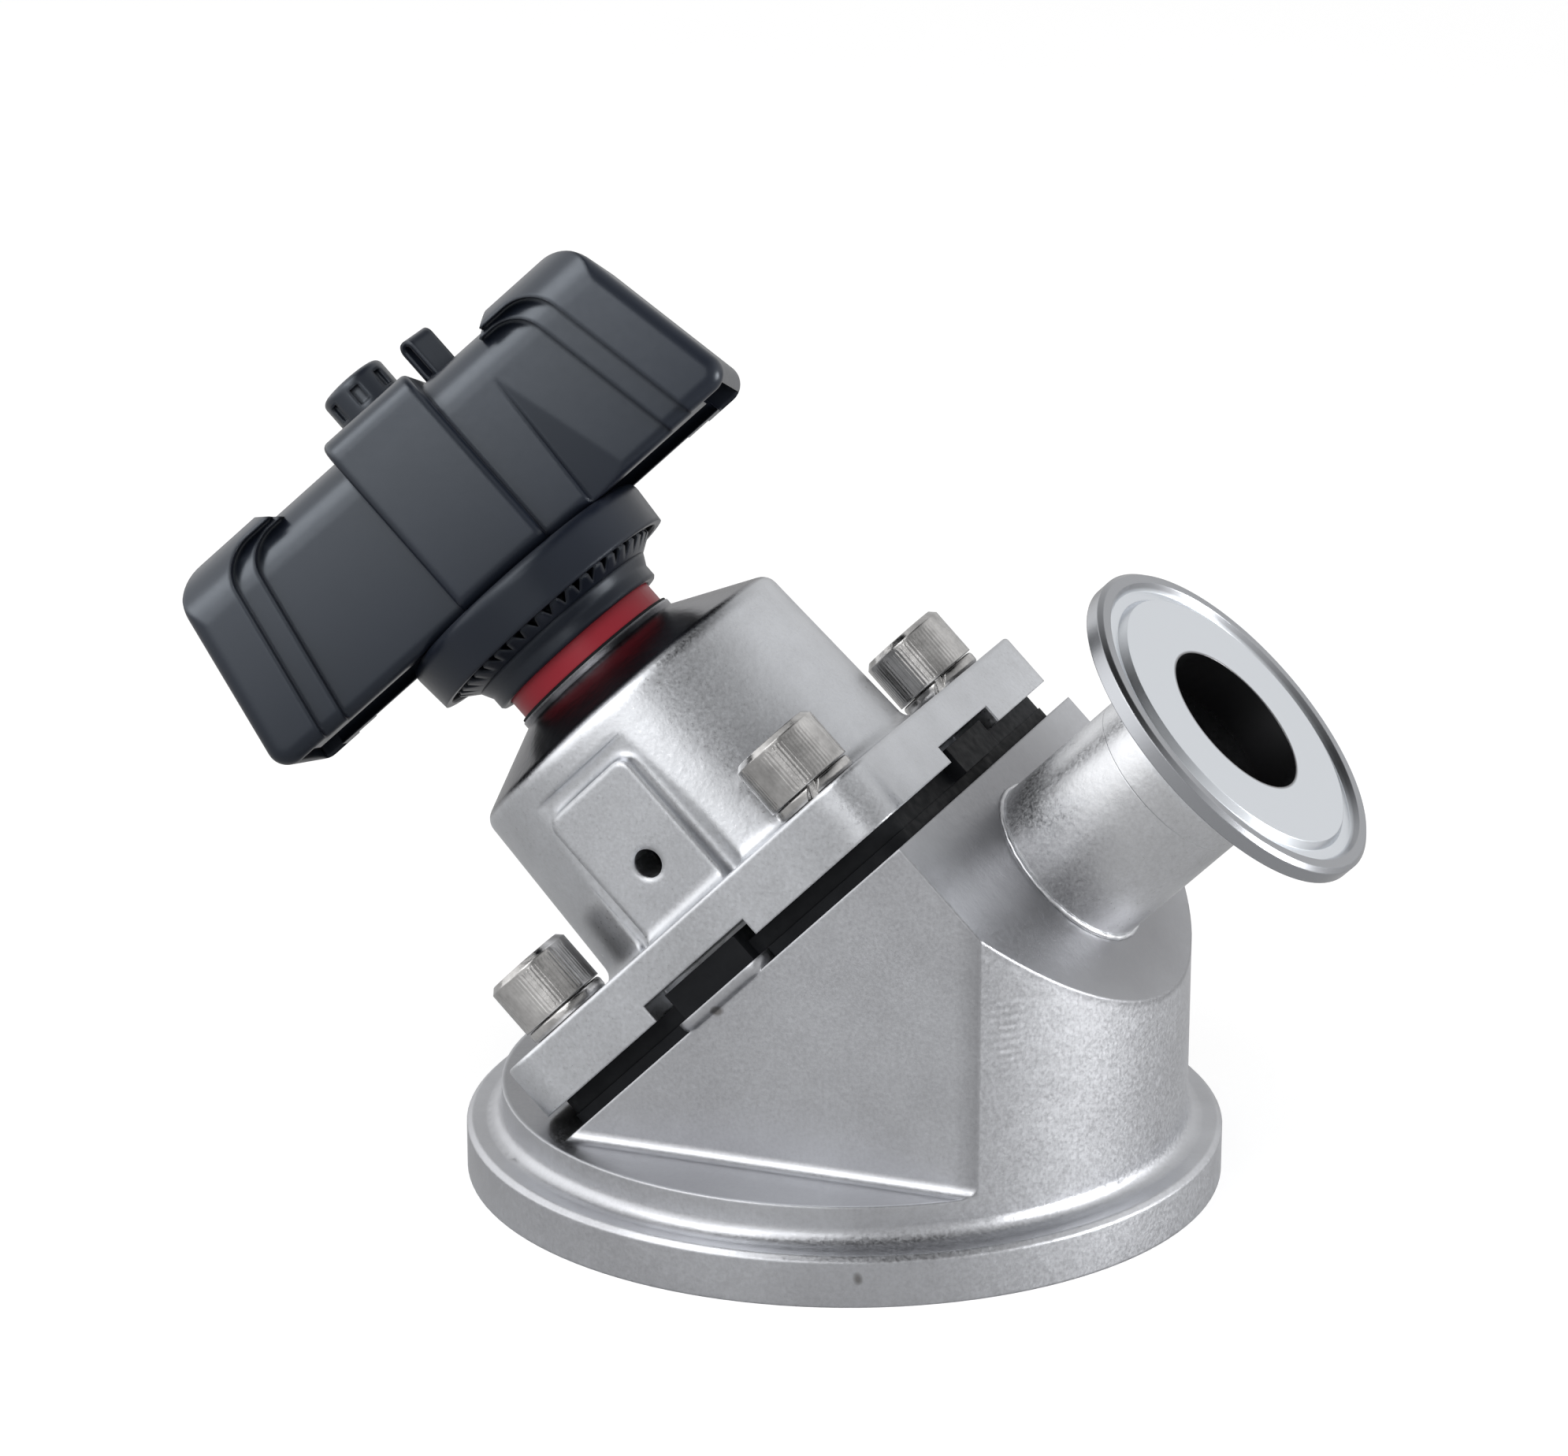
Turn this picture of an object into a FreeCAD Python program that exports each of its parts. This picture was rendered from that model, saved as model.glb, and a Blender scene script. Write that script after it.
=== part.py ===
import FreeCAD, Part
import math
import os
import re
import Sketcher

# Tank bottom diaphragm valve. The origin is the centre of the tank pad's underside, +Z is up,
# the bonnet leans towards -X and the outlet leaves towards +X, both in the plane Y = 0.
# The seat frame has its origin in the middle of the diaphragm face of the body:
# its x runs up the slope towards the outlet, its y is Y and its z is the spindle's axis.

SIZES = {
    # Body
    "pad_radius": 53.6,
    "pad_height": 7.1,
    "pad_edge": 0.7,
    "pad_ledge": 5,
    "foot_round": 2.2,
    "ledge_height": 12.25,
    "cheek_half": 36.4,
    "cheek_round": 1.6,
    "seat_x": -3.8,
    "seat_z": 35.4,
    "seat_tilt": 45,
    "end_length": 34.8,
    "bowl_radius": 28,
    "bowl_depth": 14,
    "port_radius": 20,
    "weir_half": 2.5,
    "weir_drop": 1.5,
    "lug_half": 8.6,
    "lug_height": 1.6,
    "lug_depth": 4.6,
    "lug_proud": 0.8,
    "lug_root": 0.5,
    "lug_corner": 3,
    "lug_round": 1.6,
    # Outlet
    "outlet_drop": 17,
    "tube_radius": 12.7,
    "bore_radius": 11.3,
    "socket_depth": 3,
    "tube_length": 19.9,
    "ferrule_length": 12.7,
    "ferrule_radius": 25.25,
    "ferrule_rim": 2.6,
    "ferrule_slope": 20,
    "ferrule_neck": 0.9,
    "rim_edge": 0.6,
    "groove_centre": 21.8,
    "groove_half": 1.5,
    "groove_depth": 1.0,
    # Diaphragm
    "face_thick": 1.6,
    "backing_thick": 2.4,
    "diaphragm_half": 33.2,
    "face_lip": 0.6,
    "diaphragm_corner": 5,
    "dome_radius": 9,
    "dome_rise": 1.3,
    "tab_half": 7,
    "tab_reach": 2.2,
    "tab_height": 1.9,
    # Bonnet
    "flange_half": 36.2,
    "flange_corner": 7,
    "flange_thick": 8.4,
    "flange_edge": 0.6,
    "notch_half": 10.2,
    "notch_height": 2.7,
    "notch_depth": 7,
    "barrel_foot": 27.6,
    "barrel_top": 26.35,
    "barrel_height": 28.5,
    "barrel_round": 2,
    "shoulder_round": 2.4,
    "neck_radius": 13.4,
    "neck_rise": 6,
    "neck_height": 0.9,
    "cavity_radius": 17.6,
    "dish_radius": 21.5,
    "dish_depth": 4,
    "cavity_depth": 29,
    "guide_half": 4,
    "guide_reach": 20.8,
    "boss_half": 7.8,
    "boss_top": 34.2,
    "boss_face": 27.4,
    "boss_round": 2,
    "trough_width": 2.6,
    "trough_depth": 2.4,
    "trough_round": 1,
    "weep_radius": 2.1,
    "weep_height": 20.9,
    # Screws
    "screw_spacing": 25.75,
    "screw_radius": 4,
    "screw_gap": 0.5,
    "thread_depth": 12,
    "screw_length": 25,
    "head_radius": 6.5,
    "head_height": 8,
    "head_edge": 0.8,
    "socket_across": 6,
    "socket_deep": 4,
    "washer_thick": 2,
    "washer_radius": 6.4,
    "washer_bore": 4.2,
    "washer_split": 0.9,
    # Spindle, bush and seals
    "spindle_radius": 6,
    "spindle_edge": 0.5,
    "running_gap": 0.05,
    "seat_gap": 0.3,
    "bush_radius": 9.5,
    "bush_flange": 12,
    "bush_flange_thick": 3,
    "bush_top": 4.2,
    "ring_thick": 1,
    "bush_ring_place": 5.5,
    "spindle_ring_place": 2.2,
    "seal_thick": 0.4,
    "seal_inset": 0.2,
    "sleeve_radius": 12.65,
    "sleeve_height": 10.1,
    # Compressor
    "compressor_radius": 17.2,
    "compressor_plate": 4,
    "plate_slope": 2,
    "bar_half": 3.5,
    "bar_height": 0.8,
    "hub_radius": 9.5,
    "hub_height": 13.4,
    "fin_half": 3.8,
    "fin_reach": 20.4,
    "fin_lift": 2.4,
    "fin_height": 9,
    "swivel_floor": 3.9,
    "thrust_thick": 0.6,
    "thrust_radius": 5.6,
    "thrust_bore": 2,
    "neck_groove": 3.9,
    "pin_radius": 1.5,
    "pin_half": 6,
    "pin_height": 8.4,
    "pin_play": 0.3,
    "stud_radius": 2.5,
    "stud_length": 4.4,
    "stud_hole_depth": 2.4,
    "stud_head": 5,
    "stud_head_thick": 1.2,
    # Handwheel group
    "open_lift": 2.8,
    "skirt_wall": 1.35,
    "flare_start": 2,
    "flare_end": 3.7,
    "flare_width": 0.9,
    "crown_radius": 17.6,
    "crown_slope": 1.6,
    "crown_inner": 14.6,
    "tooth_count": 40,
    "tooth_depth": 1.2,
    "tooth_half": 0.85,
    "collar_bottom": 5.5,
    "collar_foot": 20.1,
    "collar_radius": 20.5,
    "collar_slope": 5.2,
    "collar_height": 7,
    "collar_round": 1.4,
    "collar_recess": 1.6,
    "collar_wall": 1.1,
    "handle_turn": 23,
    "handle_wall": 2.2,
    "hollow_round": 1.5,
    "arm_half": 13,
    "arm_top": 92.4,
    "arm_reach": 31,
    "arm_round": 6.5,
    "arm_foot_round": 1.6,
    "block_half": 7.8,
    "block_depth": 17,
    "block_top": 94.4,
    "block_round": 3.2,
    "block_foot_round": 2,
    "block_edge": 1,
    "lip_inner": 33.9,
    "lip_outer": 42.1,
    "lip_lean": 10.5,
    "lip_depth": 17,
    "lip_top": 94,
    "lip_under": 92.1,
    "lip_bend": 6,
    "lip_round": 2.2,
    "lip_crown": 8,
    "lip_corner": 6.5,
    "lip_foot_round": 3,
    "step_width": 3.7,
    "step_depth": 15,
    "step_top": 93,
    "step_under": 91.2,
    "step_bend": 5.5,
    "step_round": 2,
    "step_crown": 7,
    "step_corner": 6,
    "hood_end": 18.5,
    "hood_slope": 4.5,
    "scoop_place": 16.5,
    "scoop_top": 86,
    "scoop_height": 22.4,
    "scoop_left": 1.2,
    "scoop_right": 6.1,
    "scoop_tilt": 10.5,
    "scoop_reach": 3,
    "core_radius": 9.8,
    "core_height": 20.2,
    "drive_across": 8.6,
    "rib_half": 1,
    "rib_foot": 69.8,
    "rib_reach": 30,
    "hub_screw_radius": 2.5,
    "hub_screw_length": 12,
    "hub_screw_head": 4.25,
    "hub_screw_head_height": 5,
    "hub_screw_socket": 4,
    "hub_screw_reach": 11,
    "hub_washer_radius": 6,
    "hub_washer_thick": 1,
    "cap_radius": 6.2,
    "cap_thick": 3,
    "knob_radius": 5.15,
    "knob_height": 5.9,
    "knob_edge": 1,
    "knob_turn": 16,
    "knob_slots": 7,
    "knob_slot_half": 0.75,
    "knob_slot_height": 2.6,
    "knob_slot_deep": 1,
    "pivot_radius": 2,
    "pivot_length": 4,
    "clip_radius": 3.4,
    "clip_thick": 0.6,
    "eye_place": 10.8,
    "eye_turn": 42,
    "eye_half": 2.15,
    "eye_thick": 3.2,
    "eye_height": 7.1,
    "eye_rim": 0.8,
    "eye_edge": 0.2,
}

SEAT = (
    "placement(vector(seat_x; 0; seat_z); rotation(vector(0; 1; 0); -seat_tilt))"
)
OUTLET = (
    SEAT
    + " * placement(vector(end_length; 0; -outlet_drop); rotation(vector(0; 1; 0); 90))"
)
HANDLE = SEAT + " * placement(vector(0; 0; 0); rotation(vector(0; 0; 1); handle_turn))"
KNOB = HANDLE + " * placement(vector(0; 0; 0); rotation(vector(0; 0; 1); knob_turn))"
EYE = HANDLE + " * placement(vector(eye_place; 0; 0); rotation(vector(0; 0; 1); eye_turn))"

# Heights along the spindle's axis, counted from the diaphragm face of the body
BODY_RADIUS = "(pad_radius - pad_ledge)"
PACK = "(face_thick + backing_thick)"
FLANGE_TOP = "(" + PACK + " + flange_thick)"
CONE_FOOT = "(" + FLANGE_TOP + " + barrel_height)"
NECK_TOP = "(" + CONE_FOOT + " + neck_rise + neck_height)"
SEAL_TOP = "(" + NECK_TOP + " + seal_thick)"
CEILING = "(" + PACK + " + cavity_depth)"
SLEEVE_TOP = "(" + SEAL_TOP + " + sleeve_height)"
PRESS_FACE = "(" + PACK + " + dome_rise + seat_gap)"
SKIRT_FOOT = "(" + SEAL_TOP + " + open_lift + seat_gap)"
COLLAR_FOOT = "(" + SKIRT_FOOT + " + collar_bottom)"
HUB_FLOOR = "(" + SLEEVE_TOP + " + open_lift + seat_gap)"
COLLAR_TOP = "(" + COLLAR_FOOT + " + collar_height)"
CORE_SEAT = "(" + COLLAR_TOP + " + core_height)"
PIN_OFFSET = "(neck_groove + seat_gap + pin_radius)"
CAP_FOOT = "(block_top - cap_thick)"
KNOB_FOOT = "(block_top + seat_gap)"

document = FreeCAD.newDocument("tank_bottom_valve")
sheet = document.addObject("Spreadsheet::Sheet", "Sizes")


def fill_sheet():
    for row, (name, value) in enumerate(SIZES.items(), 1):
        sheet.set("A%d" % row, name)
        sheet.set("B%d" % row, str(value))
        sheet.setAlias("B%d" % row, name)
    document.recompute()


def sized(text):
    """The expression with every size name pointed at its cell in the sheet."""
    return re.sub(
        r"[a-z][a-z_]*",
        lambda word: "Sizes." + word[0] if word[0] in SIZES else word[0],
        text,
    )


def bind(item, **expressions):
    for name, text in expressions.items():
        item.setExpression(name, sized(text))


# Sketches


def origin_item(body, role):
    return next(p for p in body.Origin.OriginFeatures if p.Role == role)


def new_sketch(body, name, role="XY_Plane", offset=None):
    sketch = body.newObject("Sketcher::SketchObject", name)
    sketch.AttachmentSupport = (origin_item(body, role), [""])
    sketch.MapMode = "FlatFace"
    if offset:
        bind(sketch, AttachmentOffset=offset)
    return sketch


def hold(sketch, kind, *rest):
    """Adds a constraint whose last entry is its expression."""
    index = sketch.addConstraint(Sketcher.Constraint(kind, *rest[:-1], 1.0))
    sketch.setExpression("Constraints[%d]" % index, sized(rest[-1]))


def hold_point(sketch, item, end, across, along):
    hold(sketch, "DistanceX", -1, 1, item, end, across)
    hold(sketch, "DistanceY", -1, 1, item, end, along)


def polygon(sketch, corners):
    """A closed outline through corners, each a pair of expressions."""
    count = len(corners)
    first = sketch.GeometryCount
    turn = 2 * math.pi / count
    spots = [
        FreeCAD.Vector(math.cos(turn * i), math.sin(turn * i), 0) for i in range(count)
    ]
    for i in range(count):
        sketch.addGeometry(Part.LineSegment(spots[i], spots[(i + 1) % count]), False)
    for i in range(count):
        following = first + (i + 1) % count
        sketch.addConstraint(
            Sketcher.Constraint("Coincident", first + i, 2, following, 1)
        )
    for i, (across, along) in enumerate(corners):
        hold_point(sketch, first + i, 1, across, along)


def rectangle(sketch, left, right, bottom, top):
    polygon(sketch, [(left, bottom), (right, bottom), (right, top), (left, top)])


def level(height):
    """The offset of a sketch plane along its normal."""
    return "placement(vector(0; 0; " + height + "); rotation(vector(0; 0; 1); 0))"


def circle(sketch, radius, across="0", along="0"):
    item = sketch.addGeometry(
        Part.Circle(FreeCAD.Vector(0, 0, 0), FreeCAD.Vector(0, 0, 1), 1), False
    )
    hold(sketch, "Radius", item, radius)
    hold_point(sketch, item, 3, across, along)


def four_corners(spacing):
    for across in ("", "-"):
        for along in ("", "-"):
            yield across + spacing, along + spacing


def half_moon(sketch, radius, chord, side):
    """The part of a disc beyond a chord, on the side +1 or -1 of the middle."""
    middle = FreeCAD.Vector(0, 0, 0)
    round_part = Part.Circle(middle, FreeCAD.Vector(0, 0, 1), 2)
    lean = 0 if side > 0 else math.pi
    arc = sketch.addGeometry(Part.ArcOfCircle(round_part, lean - 1, lean + 1), False)
    ends = [
        FreeCAD.Vector(2 * math.cos(lean + a), 2 * math.sin(lean + a), 0) for a in (1, -1)
    ]
    line = sketch.addGeometry(Part.LineSegment(*ends), False)
    sketch.addConstraint(Sketcher.Constraint("Coincident", arc, 2, line, 1))
    sketch.addConstraint(Sketcher.Constraint("Coincident", arc, 1, line, 2))
    sketch.addConstraint(Sketcher.Constraint("Coincident", arc, 3, -1, 1))
    sketch.addConstraint(Sketcher.Constraint("Vertical", line))
    hold(sketch, "Radius", arc, radius)
    hold(sketch, "DistanceX", -1, 1, line, 1, ("" if side > 0 else "-") + chord)


# Features


def new_body(label, place=None):
    body = document.addObject("PartDesign::Body", label)
    body.Label = label
    body.AllowCompound = True
    if place:
        bind(body, Placement=place)
    return body


def turned(body, name, corners, kind="Revolution"):
    """A revolution, or with kind Groove a cut, of an outline in radius and height."""
    sketch = new_sketch(body, name + "_outline", "XZ_Plane")
    polygon(sketch, corners)
    return spun(body, name, sketch, kind)


def spun(body, name, sketch, kind):
    feature = body.newObject("PartDesign::" + kind, name)
    feature.Profile = sketch
    feature.ReferenceAxis = (sketch, ["V_Axis"])
    feature.Angle = 360
    document.recompute()
    return feature


def raised(body, name, sketch, length, kind="Pad", reverse=False, middle=False):
    """A pad, or with kind Pocket a cut, of a sketch."""
    before = body.Shape.Volume if kind == "Pocket" else 0
    feature = body.newObject("PartDesign::" + kind, name)
    feature.Profile = sketch
    feature.Reversed = reverse
    feature.Midplane = middle
    bind(feature, Length=length)
    document.recompute()
    if kind == "Pocket" and not body.Shape.Volume < before:
        raise ValueError(name + " cuts nothing")
    return feature


def edge_names(shape, wanted):
    return ["Edge%d" % i for i, edge in enumerate(shape.Edges, 1) if wanted(edge)]


def eased(body, name, radius, wanted, kind="Fillet"):
    """A fillet, or with kind Chamfer a bevel, on the edges that wanted picks."""
    base = body.Tip
    picked = edge_names(base.Shape, wanted)
    if not picked:
        raise ValueError(name + " finds no edge")
    feature = body.newObject("PartDesign::" + kind, name)
    feature.Base = (base, picked)
    bind(feature, **{"Radius" if kind == "Fillet" else "Size": radius})
    document.recompute()
    return feature


def patterned(body, name, feature, count):
    pattern = body.newObject("PartDesign::PolarPattern", name)
    pattern.Originals = [feature]
    pattern.Axis = (origin_item(body, "Z_Axis"), [""])
    pattern.Angle = 360
    bind(pattern, Occurrences=count)
    body.Tip = pattern
    document.recompute()
    return pattern


def size(text):
    """The value of a size, or of an expression in sizes."""
    return float(sheet.evalExpression(sized(text)))


def near(value, target):
    return abs(value - target) < 0.01


def is_round(edge, radius):
    return edge.Curve.TypeId == "Part::GeomCircle" and near(edge.Curve.Radius, radius)


def is_side_edge(edge, depth):
    """An edge of the front or rear face of a block."""
    return near(edge.BoundBox.YLength, 0) and near(abs(edge.BoundBox.YMin), size(depth))


def combined(body, name, kind, tools):
    """Joins tools to the body, or with kind Cut takes them away from it."""
    feature = body.newObject("PartDesign::Boolean", name)
    feature.Type = kind
    feature.setObjects(tools)
    document.recompute()
    return feature


# Body and outlet


def make_valve_body():
    body = new_body("valve_body")
    turned(
        body,
        "pad_and_cylinder",
        [
            ("0", "0"),
            ("pad_radius", "0"),
            ("pad_radius", "pad_height - pad_edge"),
            ("pad_radius - pad_edge", "pad_height"),
            (BODY_RADIUS, "pad_height"),
            (BODY_RADIUS, "seat_z + end_length"),
            ("0", "seat_z + end_length"),
        ],
    )
    eased(
        body,
        "foot_fillet",
        "foot_round",
        lambda e: is_round(e, size(BODY_RADIUS)) and near(e.BoundBox.ZMin, size("pad_height")),
    )
    sides = new_sketch(
        body,
        "cheek_outline",
        offset=level("ledge_height"),
    )
    rectangle(sides, "-pad_radius", "pad_radius", "cheek_half", "pad_radius")
    rectangle(sides, "-pad_radius", "pad_radius", "-pad_radius", "-cheek_half")
    raised(body, "cheeks", sides, "seat_z + end_length", "Pocket", reverse=True)
    cut = new_sketch(body, "seat_outline", "XZ_Plane")
    run = "(seat_z - ledge_height) / tan(seat_tilt)"
    polygon(
        cut,
        [
            ("-pad_radius", "ledge_height"),
            ("seat_x - " + run, "ledge_height"),
            (
                "seat_x + end_length * cos(seat_tilt)",
                "seat_z + end_length * sin(seat_tilt)",
            ),
            (
                "seat_x + end_length * cos(seat_tilt) + pad_radius",
                "seat_z + end_length * sin(seat_tilt) - pad_radius / tan(seat_tilt)",
            ),
            ("2 * pad_radius", "2 * pad_radius"),
            ("-pad_radius", "2 * pad_radius"),
        ],
    )
    raised(body, "seat_and_end", cut, "4 * pad_radius", "Pocket", middle=True)
    eased(
        body,
        "cheek_fillets",
        "cheek_round",
        lambda e: near(e.BoundBox.ZMin, size("ledge_height"))
        and near(e.BoundBox.ZMax, size("ledge_height"))
        and near(abs(e.CenterOfMass.y), size("cheek_half")),
    )
    make_lugs(body)
    bowl = body.newObject("PartDesign::SubtractiveSphere", "bowl")
    dish = "(bowl_radius ^ 2 + bowl_depth ^ 2) / (2 * bowl_depth)"
    bind(
        bowl,
        Radius=dish,
        AttachmentOffset=level("bowl_depth - " + dish),
    )
    bowl.AttachmentSupport = (origin_item(body, "XY_Plane"), [""])
    bowl.MapMode = "FlatFace"
    document.recompute()
    recess = new_sketch(body, "recess_outline", offset=SEAT)
    circle(recess, "port_radius")
    raised(body, "seat_recess", recess, "weir_drop", "Pocket")
    inlet = new_sketch(body, "inlet_outline", offset=SEAT)
    half_moon(inlet, "port_radius", "weir_half", -1)
    drop = raised(body, "inlet_chamber", inlet, "seat_z / 2", "Pocket")
    drop.UseCustomVector = True
    drop.Direction = FreeCAD.Vector(0, 0, -1)
    document.recompute()
    outlet = new_sketch(body, "outlet_outline", offset=SEAT)
    half_moon(outlet, "port_radius", "weir_half", 1)
    raised(body, "outlet_chamber", outlet, "outlet_drop + bore_radius / 2", "Pocket")
    bore = new_sketch(body, "bore_outline", offset=OUTLET)
    circle(bore, "bore_radius")
    raised(body, "outlet_bore", bore, "end_length - weir_half - bore_radius / 2", "Pocket")
    socket = new_sketch(body, "socket_outline", offset=OUTLET)
    circle(socket, "tube_radius")
    raised(body, "tube_socket", socket, "socket_depth", "Pocket")
    holes = new_sketch(body, "thread_outline", offset=SEAT)
    for across, along in four_corners("screw_spacing"):
        circle(holes, "screw_radius", across, along)
    raised(body, "threaded_holes", holes, "thread_depth", "Pocket")
    return body


def make_lugs(body):
    """Two rounded lugs at the edge of the seat that stand in gaps of the thin layer."""
    tool = new_body("lug")
    lugs = new_sketch(tool, "lug_outline", offset=SEAT + " * " + level("-lug_root"))
    near_edge = "(cheek_half + lug_proud)"
    far_edge = "(cheek_half + lug_proud - lug_depth)"
    rectangle(lugs, "-lug_half", "lug_half", far_edge, near_edge)
    rectangle(lugs, "-lug_half", "lug_half", "-" + near_edge, "-" + far_edge)
    raised(tool, "lug_pad", lugs, "lug_root + lug_height")
    eased(
        tool,
        "lug_corners",
        "lug_corner",
        lambda e: is_side_edge(e, near_edge) and near(e.Length, size("lug_root + lug_height")),
    )
    eased(
        tool,
        "lug_foot",
        "lug_round",
        lambda e: is_side_edge(e, near_edge) and seat_height(e.CenterOfMass) < 0,
    )
    combined(body, "lugs", "Fuse", [tool])


def seat_height(point):
    """How far a point is above the seat, along the spindle's axis."""
    tilt = math.radians(size("seat_tilt"))
    across, up = point.x - size("seat_x"), point.z - size("seat_z")
    return up * math.cos(tilt) - across * math.sin(tilt)


def make_outlet_tube():
    body = new_body("outlet_tube", OUTLET)
    turned(
        body,
        "tube",
        [
            ("bore_radius", "-socket_depth"),
            ("tube_radius", "-socket_depth"),
            ("tube_radius", "tube_length"),
            ("bore_radius", "tube_length"),
        ],
    )
    return body


def make_outlet_ferrule():
    body = new_body("outlet_ferrule", OUTLET)
    face = "(tube_length + ferrule_length)"
    back = face + " - ferrule_rim"
    turned(
        body,
        "ferrule",
        [
            ("bore_radius", "tube_length"),
            ("tube_radius", "tube_length"),
            (
                "tube_radius",
                back
                + " - (ferrule_radius - tube_radius - ferrule_neck) * tan(ferrule_slope)"
                + " - ferrule_neck",
            ),
            (
                "tube_radius + ferrule_neck",
                back
                + " - (ferrule_radius - tube_radius - ferrule_neck) * tan(ferrule_slope)",
            ),
            ("ferrule_radius", back),
            ("ferrule_radius", face + " - rim_edge"),
            ("ferrule_radius - rim_edge", face),
            ("groove_centre + groove_half", face),
            ("groove_centre + groove_half / 2", face + " - groove_depth"),
            ("groove_centre - groove_half / 2", face + " - groove_depth"),
            ("groove_centre - groove_half", face),
            ("bore_radius", face),
        ],
    )
    return body


# Diaphragm


def square(sketch, half):
    rectangle(sketch, "-" + half, half, "-" + half, half)


def is_corner_edge(edge, across, along):
    """An edge along the local z at a corner of a rectangle."""
    box = edge.BoundBox
    return (
        near(box.XLength, 0)
        and near(box.YLength, 0)
        and near(abs(box.XMin), size(across))
        and near(abs(box.YMin), size(along))
    )


def make_layer(label, half, bottom, thick, middle):
    """One layer: a flat square rim with a raised round middle."""
    body = new_body(label, SEAT)
    rim = new_sketch(body, label + "_rim", offset=level(bottom))
    rectangle(rim, "-diaphragm_half", "diaphragm_half", "-" + half, half)
    raised(body, label + "_sheet", rim, thick)
    eased(
        body,
        label + "_corners",
        "diaphragm_corner",
        lambda e: is_corner_edge(e, "diaphragm_half", half),
    )
    hole = new_sketch(body, label + "_opening", offset=level(bottom))
    circle(hole, "port_radius")
    for across, along in four_corners("screw_spacing"):
        circle(hole, "screw_radius + screw_gap", across, along)
    raised(body, label + "_holes", hole, thick, "Pocket", reverse=True)
    top = bottom + " + " + thick
    turned(
        body,
        label + "_dome",
        [
            ("port_radius", bottom),
            ("port_radius", top),
            ("dome_radius", top + " + dome_rise"),
            (middle, top + " + dome_rise"),
            (middle, bottom + " + dome_rise"),
            ("dome_radius", bottom + " + dome_rise"),
        ],
    )
    return body


def make_diaphragm_face():
    body = make_layer(
        "diaphragm_face", "(diaphragm_half + face_lip)", "0", "face_thick", "0"
    )
    gaps = new_sketch(body, "lug_gaps")
    inner = "cheek_half + lug_proud - lug_depth - seat_gap"
    half = "lug_half + seat_gap"
    rectangle(gaps, "-(" + half + ")", half, inner, "cheek_half")
    rectangle(gaps, "-(" + half + ")", half, "-cheek_half", "-(" + inner + ")")
    raised(body, "gaps_for_lugs", gaps, "face_thick", "Pocket", reverse=True)
    return body


def make_diaphragm_backing():
    body = make_layer(
        "diaphragm_backing",
        "diaphragm_half",
        "face_thick",
        "backing_thick",
        "(stud_head + seat_gap)",
    )
    tabs = new_sketch(body, "tab_outline", offset=level("face_thick"))
    inner = "(flange_half - notch_depth + seat_gap)"
    outer = "(diaphragm_half + tab_reach)"
    for sign in ("", "-"):
        rectangle(tabs, "-tab_half", "tab_half", sign + inner, sign + outer)
        rectangle(tabs, sign + inner, sign + outer, "-tab_half", "tab_half")
    raised(body, "tabs", tabs, "backing_thick + tab_height")
    return body


# Bonnet


def make_bonnet():
    body = new_body("bonnet", SEAT)
    foot = level(PACK)
    plate = new_sketch(body, "flange_outline", offset=foot)
    square(plate, "flange_half")
    raised(body, "flange", plate, "flange_thick")
    eased(
        body,
        "flange_corners",
        "flange_corner",
        lambda e: is_corner_edge(e, "flange_half", "flange_half"),
    )
    eased(
        body,
        "flange_edges",
        "flange_edge",
        lambda e: near(e.BoundBox.ZMin, size(FLANGE_TOP)),
    )
    turned(
        body,
        "barrel",
        [
            ("0", PACK),
            ("barrel_foot", PACK),
            ("barrel_foot", FLANGE_TOP),
            ("barrel_top", CONE_FOOT),
            ("neck_radius", CONE_FOOT + " + neck_rise"),
            ("neck_radius", NECK_TOP),
            ("0", NECK_TOP),
        ],
    )
    eased(
        body,
        "shoulder",
        "shoulder_round",
        lambda e: is_round(e, size("barrel_top")) and near(e.BoundBox.ZMin, size(CONE_FOOT)),
    )
    eased(
        body,
        "barrel_fillet",
        "barrel_round",
        lambda e: is_round(e, size("barrel_foot")) and near(e.BoundBox.ZMin, size(FLANGE_TOP)),
    )
    make_weep_boss(body)
    cavity = [
        ("0", PACK),
        ("dish_radius", PACK),
        ("cavity_radius", PACK + " + dish_depth"),
        ("cavity_radius", CEILING),
        ("bush_radius", CEILING),
        ("bush_radius", NECK_TOP),
        ("0", NECK_TOP),
    ]
    turned(body, "cavity", cavity, "Groove")
    slots = new_sketch(body, "guide_outline", offset=foot)
    rectangle(slots, "-guide_half", "guide_half", "-guide_reach", "guide_reach")
    raised(body, "guide_slots", slots, "cavity_depth", "Pocket", reverse=True)
    holes = new_sketch(body, "clearance_outline", offset=foot)
    for across, along in four_corners("screw_spacing"):
        circle(holes, "screw_radius + screw_gap", across, along)
    raised(body, "clearance_holes", holes, "flange_thick", "Pocket", reverse=True)
    notches = new_sketch(body, "notch_outline", offset=foot)
    inner = "(flange_half - notch_depth)"
    for sign in ("", "-"):
        far = sign + "(flange_half + notch_depth)"
        rectangle(notches, "-notch_half", "notch_half", sign + inner, far)
        rectangle(notches, sign + inner, far, "-notch_half", "notch_half")
    raised(body, "notches", notches, "notch_height", "Pocket", reverse=True)
    return body


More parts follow.
